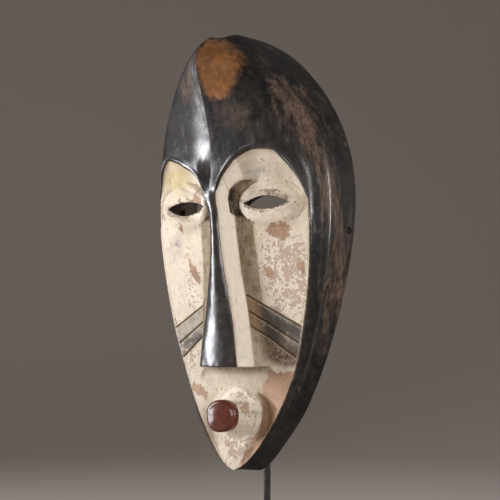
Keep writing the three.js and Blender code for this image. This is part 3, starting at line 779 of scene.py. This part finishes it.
def new_object(name, points, faces, *materials):
    """A mesh object at the origin, from points in millimetres of the part's frame and arrays of faces."""
    mesh = bpy.data.meshes.new(name)
    corners = np.concatenate([part.ravel() for part in faces])
    counts = np.concatenate([np.full(len(part), part.shape[1]) for part in faces])
    mesh.vertices.add(len(points))
    mesh.vertices.foreach_set("co", (points / 1000).astype(np.float32).ravel())
    mesh.loops.add(len(corners))
    mesh.loops.foreach_set("vertex_index", corners.astype(np.int32))
    mesh.polygons.add(len(counts))
    mesh.polygons.foreach_set("loop_start", (np.cumsum(counts) - counts).astype(np.int32))
    mesh.update(calc_edges=True)
    for material in materials:
        mesh.materials.append(material)
    return add_object(name, mesh)


def set_field(mesh, name, values):
    """Stores one number per vertex under a name that the paint reads."""
    field = mesh.attributes.get(name) or mesh.attributes.new(name, "FLOAT", "POINT")
    field.data.foreach_set("value", np.asarray(values, np.float32).ravel())


def read(items, name, kind=np.float32, width=1):
    """What each of a mesh's items holds under a name, such as its vertices' places, as one array."""
    values = np.zeros(len(items) * width, kind)
    items.foreach_get(name, values)
    return values


def get_field(mesh, name):
    """Reads one number per vertex back."""
    return read(mesh.attributes[name].data, "value")


def cut_or_join(body, tool, operation):
    """Joins a tool's solid to a body or takes it away. Each keeps its materials, and the tool is removed."""
    change = body.modifiers.new(operation, "BOOLEAN")
    change.operation = operation
    change.solver = "MANIFOLD"
    change.object = tool
    change.material_mode = "TRANSFER"
    depsgraph = bpy.context.evaluated_depsgraph_get()
    made = bpy.data.meshes.new_from_object(body.evaluated_get(depsgraph))
    body.modifiers.clear()
    old = body.data
    body.data = made
    bpy.data.meshes.remove(old)
    bpy.data.objects.remove(tool)


def mend_seams(mesh, slot):
    """Gives the new points along a cut, on one material's faces, the fields of the nearest old point."""
    material, total = (read(mesh.polygons, name, np.int32) for name in ("material_index", "loop_total"))
    corners = read(mesh.loops, "vertex_index", np.int32)
    used = np.zeros(len(mesh.vertices), bool)
    used[corners[np.repeat(material, total) == slot]] = True
    known = get_field(mesh, "known") > 0.999
    lost, found = np.flatnonzero(used & ~known), np.flatnonzero(known)
    places = read(mesh.vertices, "co", width=3).reshape(-1, 3)
    nearest = np.zeros(len(lost), int)
    for part in np.array_split(np.arange(len(lost)), max(1, len(lost) // 100)):
        gaps = ((places[lost[part], None] - places[None, found]) ** 2).sum(-1)
        nearest[part] = found[gaps.argmin(1)]
    for name in FIELDS:
        values = get_field(mesh, name)
        values[lost] = values[nearest]
        set_field(mesh, name, values)


def finish_piece(obj, node):
    """Shades a piece smoothly but for sharp edges, and ties it to the frame in place of its CAD node."""
    obj.data.shade_smooth()
    obj.data.set_sharp_from_angle(angle=SHARP_ANGLE)
    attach(obj, "root")
    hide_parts(node)


# Shader maths


class Wire:
    """A shader's socket. Maths on wires adds the nodes that work it out."""

    def __init__(self, tree, socket=None):
        self.tree = tree
        self.socket = socket

    def node(self, kind, settings=None, values=None, out=0):
        """Adds a node of a type: its settings first, then the values or wires of its sockets."""
        made = self.tree.nodes.new("ShaderNode" + kind)
        for name, value in (settings or {}).items():
            setattr(made, name, value)
        for key, value in (values or {}).items():
            if isinstance(value, Wire):
                self.tree.links.new(value.socket, made.inputs[key])
            else:
                made.inputs[key].default_value = value
        return Wire(self.tree, made.outputs[out])

    def maths(self, operation, *values):
        """A Math node on values or wires."""
        return self.node("Math", {"operation": operation}, dict(enumerate(values)))

    def __add__(self, other):
        return self.maths("ADD", self, other)

    def __sub__(self, other):
        return self.maths("SUBTRACT", self, other)

    def __mul__(self, other):
        return self.maths("MULTIPLY", self, other)

    def __rsub__(self, other):
        return self.maths("SUBTRACT", other, self)

    __radd__ = __add__
    __rmul__ = __mul__

    def least(self, other):
        """The lesser of two."""
        return self.maths("MINIMUM", self, other)

    def most(self, other):
        """The greater of two."""
        return self.maths("MAXIMUM", self, other)

    def size(self):
        """The value without its sign."""
        return self.maths("ABSOLUTE", self)

    def step(self, start, end):
        """A smooth step from 0 at start to 1 at end."""
        settings = {"interpolation_type": "SMOOTHSTEP"}
        return self.node("MapRange", settings, {"Value": self, "From Min": start, "From Max": end})

    def fade(self, start, end):
        """A smooth step down from 1 at start to 0 at end."""
        return 1 - self.step(start, end)

    def between(self, start, full, last, end):
        """A smooth step up from start to full, and down again from last to end."""
        return self.step(start, full) * self.fade(last, end)

    def towards(self, other, share):
        """A number a share of the way from this wire's to another."""
        return share * (other - self) + self

    def tint(self, below, above):
        """A colour between two, by this wire. A name stands for the colour that the user has chosen."""
        ends = [chosen(c) if isinstance(c, str) else c for c in (below, above)]
        return self.node("Mix", {"data_type": "RGBA"}, {0: self, 6: ends[0], 7: ends[1]}, out=2)


class Finish(Wire):
    """A material under construction, with its object's coordinates in millimetres as the pattern space."""

    def __init__(self, name):
        self.material = bpy.data.materials.new(name)
        self.material.use_nodes = True
        super().__init__(self.material.node_tree)
        self.shader = self.tree.nodes["Principled BSDF"]
        self.space = self.stretched(1000.0)

    def stretched(self, upright):
        """Object coordinates in millimetres, with a scale of height that draws a pattern along the grain."""
        place = self.node("TexCoord", out=3)
        return self.node("VectorMath", {"operation": "MULTIPLY"}, {0: place, 1: (1000.0, 1000.0, upright)})

    def field(self, name):
        """A number that the mesh keeps for each vertex."""
        return self.node("Attribute", {"attribute_name": name}, out=2)

    def noise(self, size, detail, rough, space=None):
        """Cloudy noise mostly from 0 to 1, with spots of a size in millimetres."""
        values = {"Vector": space or self.space, "Scale": 1 / size, "Detail": detail, "Roughness": rough}
        return self.node("TexNoise", None, values) * 2.4 - 0.7

    def bump(self, height, distance, under=None):
        """A bump of a height wire, whose whole range stands a distance in millimetres high."""
        values = {"Height": height, "Distance": distance / 1000, "Strength": 1.0}
        if under:
            values["Normal"] = under
        return self.node("Bump", None, values)

    def done(self, colour, roughness, normal=None, coat=None, **fixed):
        """Feeds the shader. Keyword values are the same all over and set on its own sockets."""
        feeds = {"Base Color": colour, "Roughness": roughness, "Normal": normal, "Coat Weight": coat}
        for name, value in feeds.items():
            if isinstance(value, Wire):
                self.tree.links.new(value.socket, self.shader.inputs[name])
            elif value is not None:
                self.shader.inputs[name].default_value = value
        for name, value in fixed.items():
            self.shader.inputs[name.replace("_", " ")].default_value = value
        return self.material


def chosen(name):
    """A colour that the user has chosen, as red, green, blue and a full alpha."""
    return (*getattr(bpy.context.scene.mask_colours, name), 1.0)


def coats(base, *layers):
    """Lays coats over a base one after another, each a pair of its share and its colour."""
    for share, colour in layers:
        base = share.tint(base, colour)
    return base


def groove_distance(row, below=0.0):
    """How far a row is from the nearest of the cheek's grooves, or of the lines that much below them."""
    nearest, *others = ((row - (groove - below)).size() for groove in GROOVE_ROWS)
    for other in others:
        nearest = nearest.least(other)
    return nearest


def painted_wood():
    """Worn black and cream paint over brown wood. The cream field's sign divides the two paints, patches lay
    the wood bare, and grooves, edges and noise wear both."""
    f = Finish("painted_wood")
    grain = f.noise(1.5, 4.0, 0.6, f.stretched(70.0))
    streaks = f.noise(9.0, 4.0, 0.6, f.stretched(190.0))
    broad, medium, fine = f.noise(26.0, 3.0, 0.5), f.noise(6.5, 4.0, 0.6), f.noise(1.9, 3.0, 0.6)
    fibres, blots, dots = grain - 0.5, medium - 0.5, fine - 0.5
    clouds = broad * 0.5 + medium * 0.5
    row, column, cream, lid, crease, mound, polish, edge = (f.field(name) for name in CARVED)
    ochre, streak, haze, bare, flaking, greyed, dirt, faded, yellowed = (f.field(name) for name in PATCHES)
    # The right side, where painted light lightens the strip and the bare wood
    rightwards = f.node("SeparateXYZ", None, {"Vector": f.space}).step(-3.0, -1.0)
    on_cheek = column.between(2.0, 2.05, 3.95, 4.0)

    # Black paint, worn to brown along the grain, with the bare patch on the crown
    rubbed = (streak + (streaks - 0.5) * 0.9 + fibres * 0.5 - 0.45).step(-0.1, 0.85) * 0.9
    rubbed = rubbed.most((haze + blots * 0.5 - 0.4).step(0.0, 1.0) * 0.4)
    rubbed = rubbed.most((edge * 1.6 + blots * 0.6 - 0.3).step(0.3, 0.9) * 0.4)
    rubbed = rubbed.most((streaks + medium * 0.4).step(1.0, 1.35) * 0.35)
    ochre_edge = (ochre + blots * 0.25 + fibres * 0.15).step(0.15, 0.85)
    black = coats(
        broad.step(0.2, 0.9).tint("black", "black_warm"),
        (clouds.step(0.45, 0.95) * 0.5, "dusty"),
        (rubbed, (grain * 0.6 + medium * 0.4).step(0.1, 0.9).tint("worn_dark", "worn_light")),
        (ochre_edge * 0.96, (medium * 0.4 + broad * 0.6).step(0.1, 0.9).tint("ochre_dark", "ochre")),
    )

    # Cream paint: mottled, yellowed, greyed and specked. It is made pale by painted light on the nose's
    # strip, the mounds' inner ends, the top of the nose's wall and the mouth's cone, is sooty with painted
    # shade on the wall, and has a painted shadow under the nose
    wall = column.between(2.0, 2.05, 2.93, 3.05) * row.step(93.0, 95.0)
    strip = column.between(1.0, 1.05, 1.95, 2.0) * row.step(93.0, 95.0)
    # Painted light: the top of the nose's wall takes the strip's pale paint, and on the left the strip keeps
    # a fifth
    strip = strip.most(wall * row.step(236.0, 243.0) * (1 - mound)) * (rightwards * 0.8 + 0.2)
    wall = wall * (1 - mound) * row.fade(236.0, 243.0)
    # Where a painted shadow falls just under the nose
    under = row.between(85.0, 92.5, 94.2, 95.0) * column.fade(3.2, 3.5)
    paint = coats(
        (broad * 0.55 + medium * 0.45).step(0.15, 0.8).tint("cream_dark", "cream"),
        (yellowed * 0.8 * medium.step(0.0, 0.6), "yellowed"),
        (greyed * medium.step(0.25, 0.7) * 0.8, "greyed"),
        # Painted light on the nose's strip and the top of its wall
        (strip * (0.86 + fibres * 0.35), "strip"),
        # Painted light on the inner ends of the eye mounds, and on the mouth's cone
        (mound * column.fade(2.8, 3.25) * 0.8, "strip"),
        # Sooty paint with painted shade on the nose's wall, darker higher up
        (wall * (row.step(96.0, 150.0) * 0.46 + 0.36 + fibres * 0.25 + blots * 0.5), "wall"),
        # Painted shadow just under the nose
        (under * (0.35 + medium * 0.6), "wall"),
        # Painted shade in the slot beside the nose, near black at its outer edge and brown towards the mound
        (crease.step(0.05, 0.85) * 0.97, crease.step(0.3, 0.9).tint("wood_light", "black_warm")),
        ((lid + blots * 0.5 + dots * 0.6).step(0.42, 0.78) * 0.85,
         fine.step(0.2, 0.8).tint("wood_dark", "wood_light")),
        (clouds.step(0.55, 1.0) * 0.28 + cream.fade(0.0, 5.0) * 0.3, "speck"),
        (fine.step(0.4, 0.95) * (1 - strip) * 0.3, "cream_dark"),
        ((fine + blots * 0.7).step(0.84, 0.98) * (1 - strip * 0.7) * 0.65, "speck"),
        # Dirt and soot, and the painted shadow in the trough right of the mouth
        (dirt * (0.8 + dots * 0.7), medium.step(0.2, 0.9).tint("wood_dark", "wood_light")),
    )

    # The cheek's band between the outer grooves, flaked and bare wood, painted light and shadow beside the
    # mouth, and the grooves with a painted highlight under each
    band = row.between(133.2, 134.0, 160.6, 161.4) * on_cheek
    band = band * ((medium * 0.5 + streaks * 0.5 - faded * 0.3).step(0.05, 0.4) * (0.6 - faded * 0.35) + 0.36)
    patchy = f.noise(13.0, 2.0, 0.5) - 0.5
    lace = blots * 0.45 + (f.noise(3.2, 5.0, 0.7) - 0.5) * 0.8
    chipped = (bare * 0.95 + patchy * 0.45 + lace * 1.1 + edge * 0.2).step(0.48, 0.62)
    chips = (f.noise(2.6, 3.0, 0.6) - 0.5) * 1.1 + blots * 0.6 + patchy * 0.4
    flaked = (flaking * 0.5 + chips).step(0.34, 0.58) * flaking.step(0.0, 0.3)
    bare_wood = (fine * 0.4 + broad * 0.6).step(0.1, 0.9).tint("tan_dark", "tan")
    # A painted highlight along the low ridge under each groove
    lower = groove_distance(row, 1.7).fade(0.2, 0.8) * on_cheek * fine.step(0.2, 0.6)
    paint = coats(
        paint,
        (band, column.fade(2.3, 3.15).tint("band", "mustard")),
        (flaking * 0.3, "strip"),
        (flaked, "flaked"),
        # Bare wood, lighter low on the right as painted light on the trough beside the mouth
        (chipped, (row.fade(70.0, 100.0) * rightwards * 0.75).tint(bare_wood, "tan_painted_light")),
        # Dirt, and the painted shadow right of the mouth, laid again over the bare wood low on the face
        (dirt.step(0.1, 0.6) * row.fade(75.0, 85.0) * 0.85, "tan_dark"),
        (lower * 0.45, "cream_dark"),
        (groove_distance(row).fade(0.45, 1.05) * on_cheek * 0.85, medium.tint("wood_dark", "wood_light")),
    )

    # The boundary between the two paints is a thin, broken line of bare wood
    ragged = cream + blots * 0.5 + dots * 0.4
    is_cream = ragged.step(0.0, 0.25)
    bare_line = ragged.size().fade(0.3, 0.9) * medium.step(0.35, 0.6)
    colour = coats(black, (is_cream, paint), (bare_line * 0.8, grain.tint("wood_dark", "wood_light")))

    # Gloss: satin black with polished and glazed places, and matt cream
    dark = 1 - is_cream * (1 - band)
    satin = 0.56 + rubbed * 0.15 + blots * 0.3 + (broad - 0.5) * 0.25
    gloss = (0.52 + dots * 0.15).towards(satin.towards(0.3 + blots * 0.08, polish), dark)
    gloss = gloss.towards(0.42, ochre_edge * (1 - is_cream))
    glaze = polish * 0.85 + (medium * 0.5 + streaks * 0.5).step(0.45, 0.9) * 0.12
    glaze = glaze * dark * (1 - ochre_edge) * (1 - rubbed * 0.5)

    # Relief: specks and mottling, less on the black, with lost paint lower, and the grain over them
    lost = chipped.most(flaked) * is_cream
    relief = f.bump((fine * (1 - polish * 0.7) * 0.35 + medium * 0.65) * (1 - dark * 0.35) - lost * 0.7, 0.55)
    relief = f.bump(grain * (1 - polish * dark), 0.12, relief)
    return f.done(colour, gloss, relief, glaze, Specular_IOR_Level=0.2, Coat_Roughness=0.26, Coat_IOR=1.9)


def knob_paint():
    """Red-brown glazed paint in two tones, with fine wear."""
    f = Finish("mouth_red")
    broad, fine = f.noise(6.0, 4.0, 0.6), f.noise(1.2, 4.0, 0.6)
    tone = (broad * 0.7 + fine * 0.3).step(-0.1, 0.8).tint("red_dark", "red")
    relief = f.bump(broad * 0.6 + fine * 0.4, 0.5)
    return f.done(tone, 0.6, relief, Specular_IOR_Level=0.1,
                  Coat_Weight=0.85, Coat_Roughness=0.2, Coat_IOR=1.6)


def raw_wood():
    """The hollow's unpainted wood, dark with age, with grain and soft stains."""
    f = Finish("raw_wood")
    grain, broad = f.noise(1.8, 5.0, 0.65, f.stretched(60.0)), f.noise(24.0, 4.0, 0.55)
    tone = (grain * 0.6 + broad * 0.4).step(0.1, 0.9).tint("raw_dark", "raw_light")
    return f.done(tone, 0.62 + (grain - 0.5) * 0.12, f.bump(grain, 0.3))


def black_steel():
    """Satin black steel with faint rubbed places."""
    f = Finish("black_steel")
    broad, fine = f.noise(18.0, 4.0, 0.6), f.noise(0.8, 3.0, 0.6)
    tone = (broad * 0.8 + fine * 0.2).step(0.3, 0.95).tint("steel", "steel_worn")
    gloss = 0.34 + (fine - 0.5) * 0.08 + (broad - 0.5) * 0.08
    return f.done(tone, gloss, f.bump(fine, 0.05), Specular_IOR_Level=0.3)


# What a user may change

COLOURS = {
    "cream": ("Cream paint", (0.72, 0.625, 0.495)),
    "cream_dark": ("Cream paint where it is thin", (0.55, 0.47, 0.36)),
    "yellowed": ("Yellowed paint", (0.50, 0.39, 0.17)),
    "greyed": ("Greyed paint", (0.34, 0.31, 0.29)),
    "speck": ("Specks in the cream paint", (0.27, 0.20, 0.13)),
    # Sooty paint darkened with painted shade on the nose's wall, also the painted shadow under the nose
    "wall": ("Sooty paint on the nose's wall", (0.17, 0.12, 0.06)),
    "mustard": ("Worn paint in the cheek band", (0.23, 0.145, 0.07)),
    # Cream lightened as painted light for the nose's strip, the top of its wall, the mounds' ends and the
    # cone
    "strip": ("Paint on the nose's pale strip", (1.0, 0.91, 0.79)),
    "flaked": ("Flaked places in the cream paint", (0.47, 0.355, 0.275)),
    "band": ("Black paint in the cheek band", (0.055, 0.048, 0.042)),
    "tan": ("Bare wood in the face", (0.48, 0.31, 0.205)),
    # Bare wood lightened as painted light, for the trough beside the mouth
    "tan_painted_light": ("Bare wood beside the mouth", (0.61, 0.405, 0.28)),
    "tan_dark": ("Bare wood in the face, darker", (0.27, 0.16, 0.10)),
    "black": ("Black paint", (0.007, 0.006, 0.006)),
    "black_warm": ("Black paint where it is thin", (0.017, 0.012, 0.010)),
    "dusty": ("Dust on the black paint", (0.05, 0.043, 0.04)),
    "worn_dark": ("Worn wood under the black", (0.068, 0.044, 0.031)),
    "worn_light": ("Worn wood under the black, lighter", (0.185, 0.12, 0.085)),
    "ochre": ("Bare patch on the crown", (0.29, 0.125, 0.042)),
    "ochre_dark": ("Bare patch on the crown, darker", (0.15, 0.062, 0.024)),
    "wood_light": ("Wood at the paint's edges", (0.20, 0.11, 0.055)),
    "wood_dark": ("Wood at the paint's edges, darker", (0.06, 0.032, 0.018)),
    "red": ("Mouth", (0.13, 0.024, 0.010)),
    "red_dark": ("Mouth, darker", (0.045, 0.011, 0.007)),
    "raw_light": ("Wood in the hollow", (0.085, 0.05, 0.031)),
    "raw_dark": ("Wood in the hollow, darker", (0.024, 0.015, 0.010)),
    "steel": ("Black steel", (0.012, 0.012, 0.013)),
    "steel_worn": ("Black steel, rubbed", (0.035, 0.034, 0.034)),
    "floor": ("Studio floor", (0.54, 0.475, 0.43)),
}


def colour_property(label, default):
    """A colour that a user may change."""
    return FloatVectorProperty(name=label, description=f"{label}, as a linear colour", default=default,
                               size=3, min=0, max=1, subtype="COLOR")


class MaskColours(bpy.types.PropertyGroup):
    """The paints, woods and metals."""

    __annotations__ = {name: colour_property(*words) for name, words in COLOURS.items()}


class MaskSizes(bpy.types.PropertyGroup):
    """How strongly the fine carving stands out."""

    groove: FloatProperty(name="Grooves", description="Depth of the cheek grooves, as a share of the usual",
                          default=1, min=0, max=2, subtype="FACTOR")
    lids: FloatProperty(name="Lids", description="Relief of the eyelids, as a share of the usual",
                        default=1, min=0, max=2, subtype="FACTOR")
    marks: FloatProperty(name="Tool marks", description="Height of the adze and knife marks, in millimetres",
                         default=0.55, min=0, max=2)


class StageSettings(bpy.types.PropertyGroup):
    """The powers of the studio's lights, and its camera's lens."""

    __annotations__ = {
        **{name: FloatProperty(name=light.label, description=f"Power of the light {light.where}",
                               default=light.power, min=0, unit="POWER")
           for name, light in LIGHTS.items()},
        "lens": FloatProperty(name="Lens", description="The camera's focal length in millimetres",
                              default=CAMERA["lens"], min=20, unit="CAMERA"),
    }


class MASK_OT_carve(bpy.types.Operator):
    """Carves the mask: shell, mouth, hollow, slits and side holes, as one closed mesh"""

    bl_idname = "mask.carve"
    bl_label = "Carve the mask"

    def execute(self, context):
        paint, red, raw = painted_wood(), knob_paint(), raw_wood()
        points, faces, follows = carved_shell(context.scene.mask_sizes)
        mask = new_object("carved_mask", points, faces, paint)
        for name in CARVED:
            set_field(mask.data, name, follows[name])
        for name, (outlines, softness) in PATCHES.items():
            inside = [inside_distance(line, follows["girth"], follows["height"]) for line in outlines]
            set_field(mask.data, name, ease(-softness, softness, np.max(inside, axis=0)))
        set_field(mask.data, "known", np.ones(len(points)))
        cut_or_join(mask, self.mouth(paint, red), "UNION")

        hole_y, hole_z = SIDE_HOLE["depth"] + FRONT_Y, SIDE_HOLE["z"] + CHIN_HEIGHT
        line = [(0, SIDE_HOLE["radius"]), (1, SIDE_HOLE["radius"])]
        ends = [[(side * SIDE_HOLE[end], hole_y, hole_z) for end in ("from", "to")] for side in (-1, 1)]
        bores = [round_bar(*bore, line) for bore in ends]
        for shell in (eye_slit(-1), eye_slit(1), hollow_shell(), *bores):
            cut_or_join(mask, new_object("cutter", *shell, raw), "DIFFERENCE")
        mend_seams(mask.data, 0)
        mask.data.attributes.remove(mask.data.attributes["known"])
        finish_piece(mask, "mask")
        return {"FINISHED"}

    @staticmethod
    def mouth(paint, red):
        """The mouth's solid: its knob's faces, and the fan on its front, have the red paint."""
        points, faces, knob_faces = turned_mouth()
        mouth = new_object("mouth", points, faces, paint, red)
        slots = np.zeros(len(mouth.data.polygons), np.int32)
        slots[:knob_faces] = 1
        slots[len(faces[0]):len(faces[0]) + len(faces[1])] = 1
        mouth.data.polygons.foreach_set("material_index", slots)
        for name in (*FIELDS, "known"):
            set_field(mouth.data, name, np.full(len(points), MOUTH_FIELDS.get(name, 0.0)))
        across, up = points[:, 0], points[:, 2] - CHIN_HEIGHT - MOUTH["z"]
        behind_knob = ease(-33, -29, points[:, 1])
        for name, x, z, size, share in MOUTH_STAINS:
            set_field(mouth.data, name, share * behind_knob * bell(np.hypot(across - x, up - z), 0, size))
        return mouth


class MASK_OT_make_stand(bpy.types.Operator):
    """Makes the rod with its brazed cross arm, and the foot plate that it stands in"""

    bl_idname = "mask.make_stand"
    bl_label = "Make the stand"

    def execute(self, context):
        rod_y = ROD["depth"] + FRONT_Y
        foot = BASE["thickness"] - ROD["socket"] + CLEARANCE
        arm_y = SIDE_HOLE["depth"] + FRONT_Y
        arm_z = SIDE_HOLE["z"] + CHIN_HEIGHT + SIDE_HOLE["radius"] - ARM["radius"] - CLEARANCE
        radius, arm, reach = ROD["radius"], ARM["radius"], ARM["reach"]
        upright = [(0, radius - 0.4), (0.0015, radius), (0.5, radius), (0.997, radius),
                   (0.999, radius - 0.3), (1, radius - 0.8)]
        brazed = [(0, 3.1), (0.2, 3.0), (0.5, arm), (0.8, arm + 0.2), (1, arm - 0.05)]
        rounded = [(0, arm - 0.8), (0.001, arm - 0.3), (0.003, arm), (0.5, arm), (0.997, arm),
                   (0.999, arm - 0.3), (1, arm - 0.8)]
        hole = [(0, radius + CLEARANCE), (1, radius + CLEARANCE)]
        rod = self.bar("rod_and_arm", (0, rod_y, foot), (0, rod_y, ROD["top_z"] + CHIN_HEIGHT), upright)
        cut_or_join(rod, self.bar("link", (0, rod_y, arm_z), (0, arm_y, arm_z), brazed), "UNION")
        cut_or_join(rod, self.bar("cross", (-reach, arm_y, arm_z), (reach, arm_y, arm_z), rounded), "UNION")
        plate = new_object("foot_plate", *plate_shell())
        socket = self.bar("socket", (0, rod_y, foot - CLEARANCE), (0, rod_y, foot + 20), hole)
        cut_or_join(plate, socket, "DIFFERENCE")
        steel = black_steel()
        for piece, node in ((rod, "stand_rod"), (plate, "stand_base")):
            piece.data.materials.clear()
            piece.data.materials.append(steel)
            finish_piece(piece, node)
        return {"FINISHED"}

    @staticmethod
    def bar(name, start, end, line):
        """A round bar as an object."""
        return new_object(name, *round_bar(start, end, line))


class MASK_OT_set_stage(bpy.types.Operator):
    """Sets the floor, the lights and the camera"""

    bl_idname = "mask.set_stage"
    bl_label = "Set the stage"

    def execute(self, context):
        scene, settings = context.scene, context.scene.mask_stage
        matt = Finish("studio_floor").done(chosen("floor"), 0.9)
        floor = new_object("studio_floor", *floor_shell(), matt)
        floor.data.shade_smooth()
        for name, light in LIGHTS.items():
            self.light(name, light, getattr(settings, name))
        world = bpy.data.worlds.new("studio_air")
        world.use_nodes = True
        air = world.node_tree.nodes["Background"].inputs
        air["Color"].default_value = AIR["colour"]
        air["Strength"].default_value = AIR["strength"]
        scene.world = world
        scene.view_settings.view_transform = "Standard"
        scene.camera = self.camera(settings.lens)
        return {"FINISHED"}

    @staticmethod
    def light(name, light, power):
        """An upright oblong soft light, turned to its aim and unseen by the camera."""
        data = bpy.data.lights.new(name, "AREA")
        data.shape = "RECTANGLE"
        data.energy, data.color, data.spread = power, light.colour, math.radians(light.spread)
        data.size, data.size_y = light.size
        lamp = add_object(name, data, light.spot, Vector(light.aim) - Vector(light.spot))
        lamp.visible_camera = False

    @staticmethod
    def camera(lens):
        """The camera: a little to the mask's right and below its middle, looking slightly up."""
        data = bpy.data.cameras.new("camera")
        data.lens, data.sensor_width = lens, CAMERA["sensor"]
        data.clip_end = CAMERA["reach"]
        return add_object("camera", data, CAMERA["spot"], CAMERA["direction"])


class MASK_PT_workshop(bpy.types.Panel):
    """Lists what can be made and changed"""

    bl_label = "Mask workshop"
    bl_idname = "MASK_PT_workshop"
    bl_space_type = "VIEW_3D"
    bl_region_type = "UI"
    bl_category = "Mask"

    def draw(self, context):
        scene = context.scene
        for operator in OPERATORS:
            self.layout.operator(operator.bl_idname)
        for group in (scene.mask_sizes, scene.mask_stage, scene.mask_colours):
            box = self.layout.box()
            for name in group.__annotations__:
                box.prop(group, name)


OPERATORS = (MASK_OT_carve, MASK_OT_make_stand, MASK_OT_set_stage)
GROUPS = {"mask_sizes": MaskSizes, "mask_colours": MaskColours, "mask_stage": StageSettings}


def register():
    for part in (*GROUPS.values(), *OPERATORS, MASK_PT_workshop):
        bpy.utils.register_class(part)
    for name, group in GROUPS.items():
        setattr(bpy.types.Scene, name, PointerProperty(type=group))


def unregister():
    for name in GROUPS:
        delattr(bpy.types.Scene, name)
    for part in reversed((*GROUPS.values(), *OPERATORS, MASK_PT_workshop)):
        bpy.utils.unregister_class(part)


def main():
    register()
    bpy.ops.mask.set_stage()
    bpy.ops.mask.carve()
    bpy.ops.mask.make_stand()


if __name__ == "__main__":
    main()
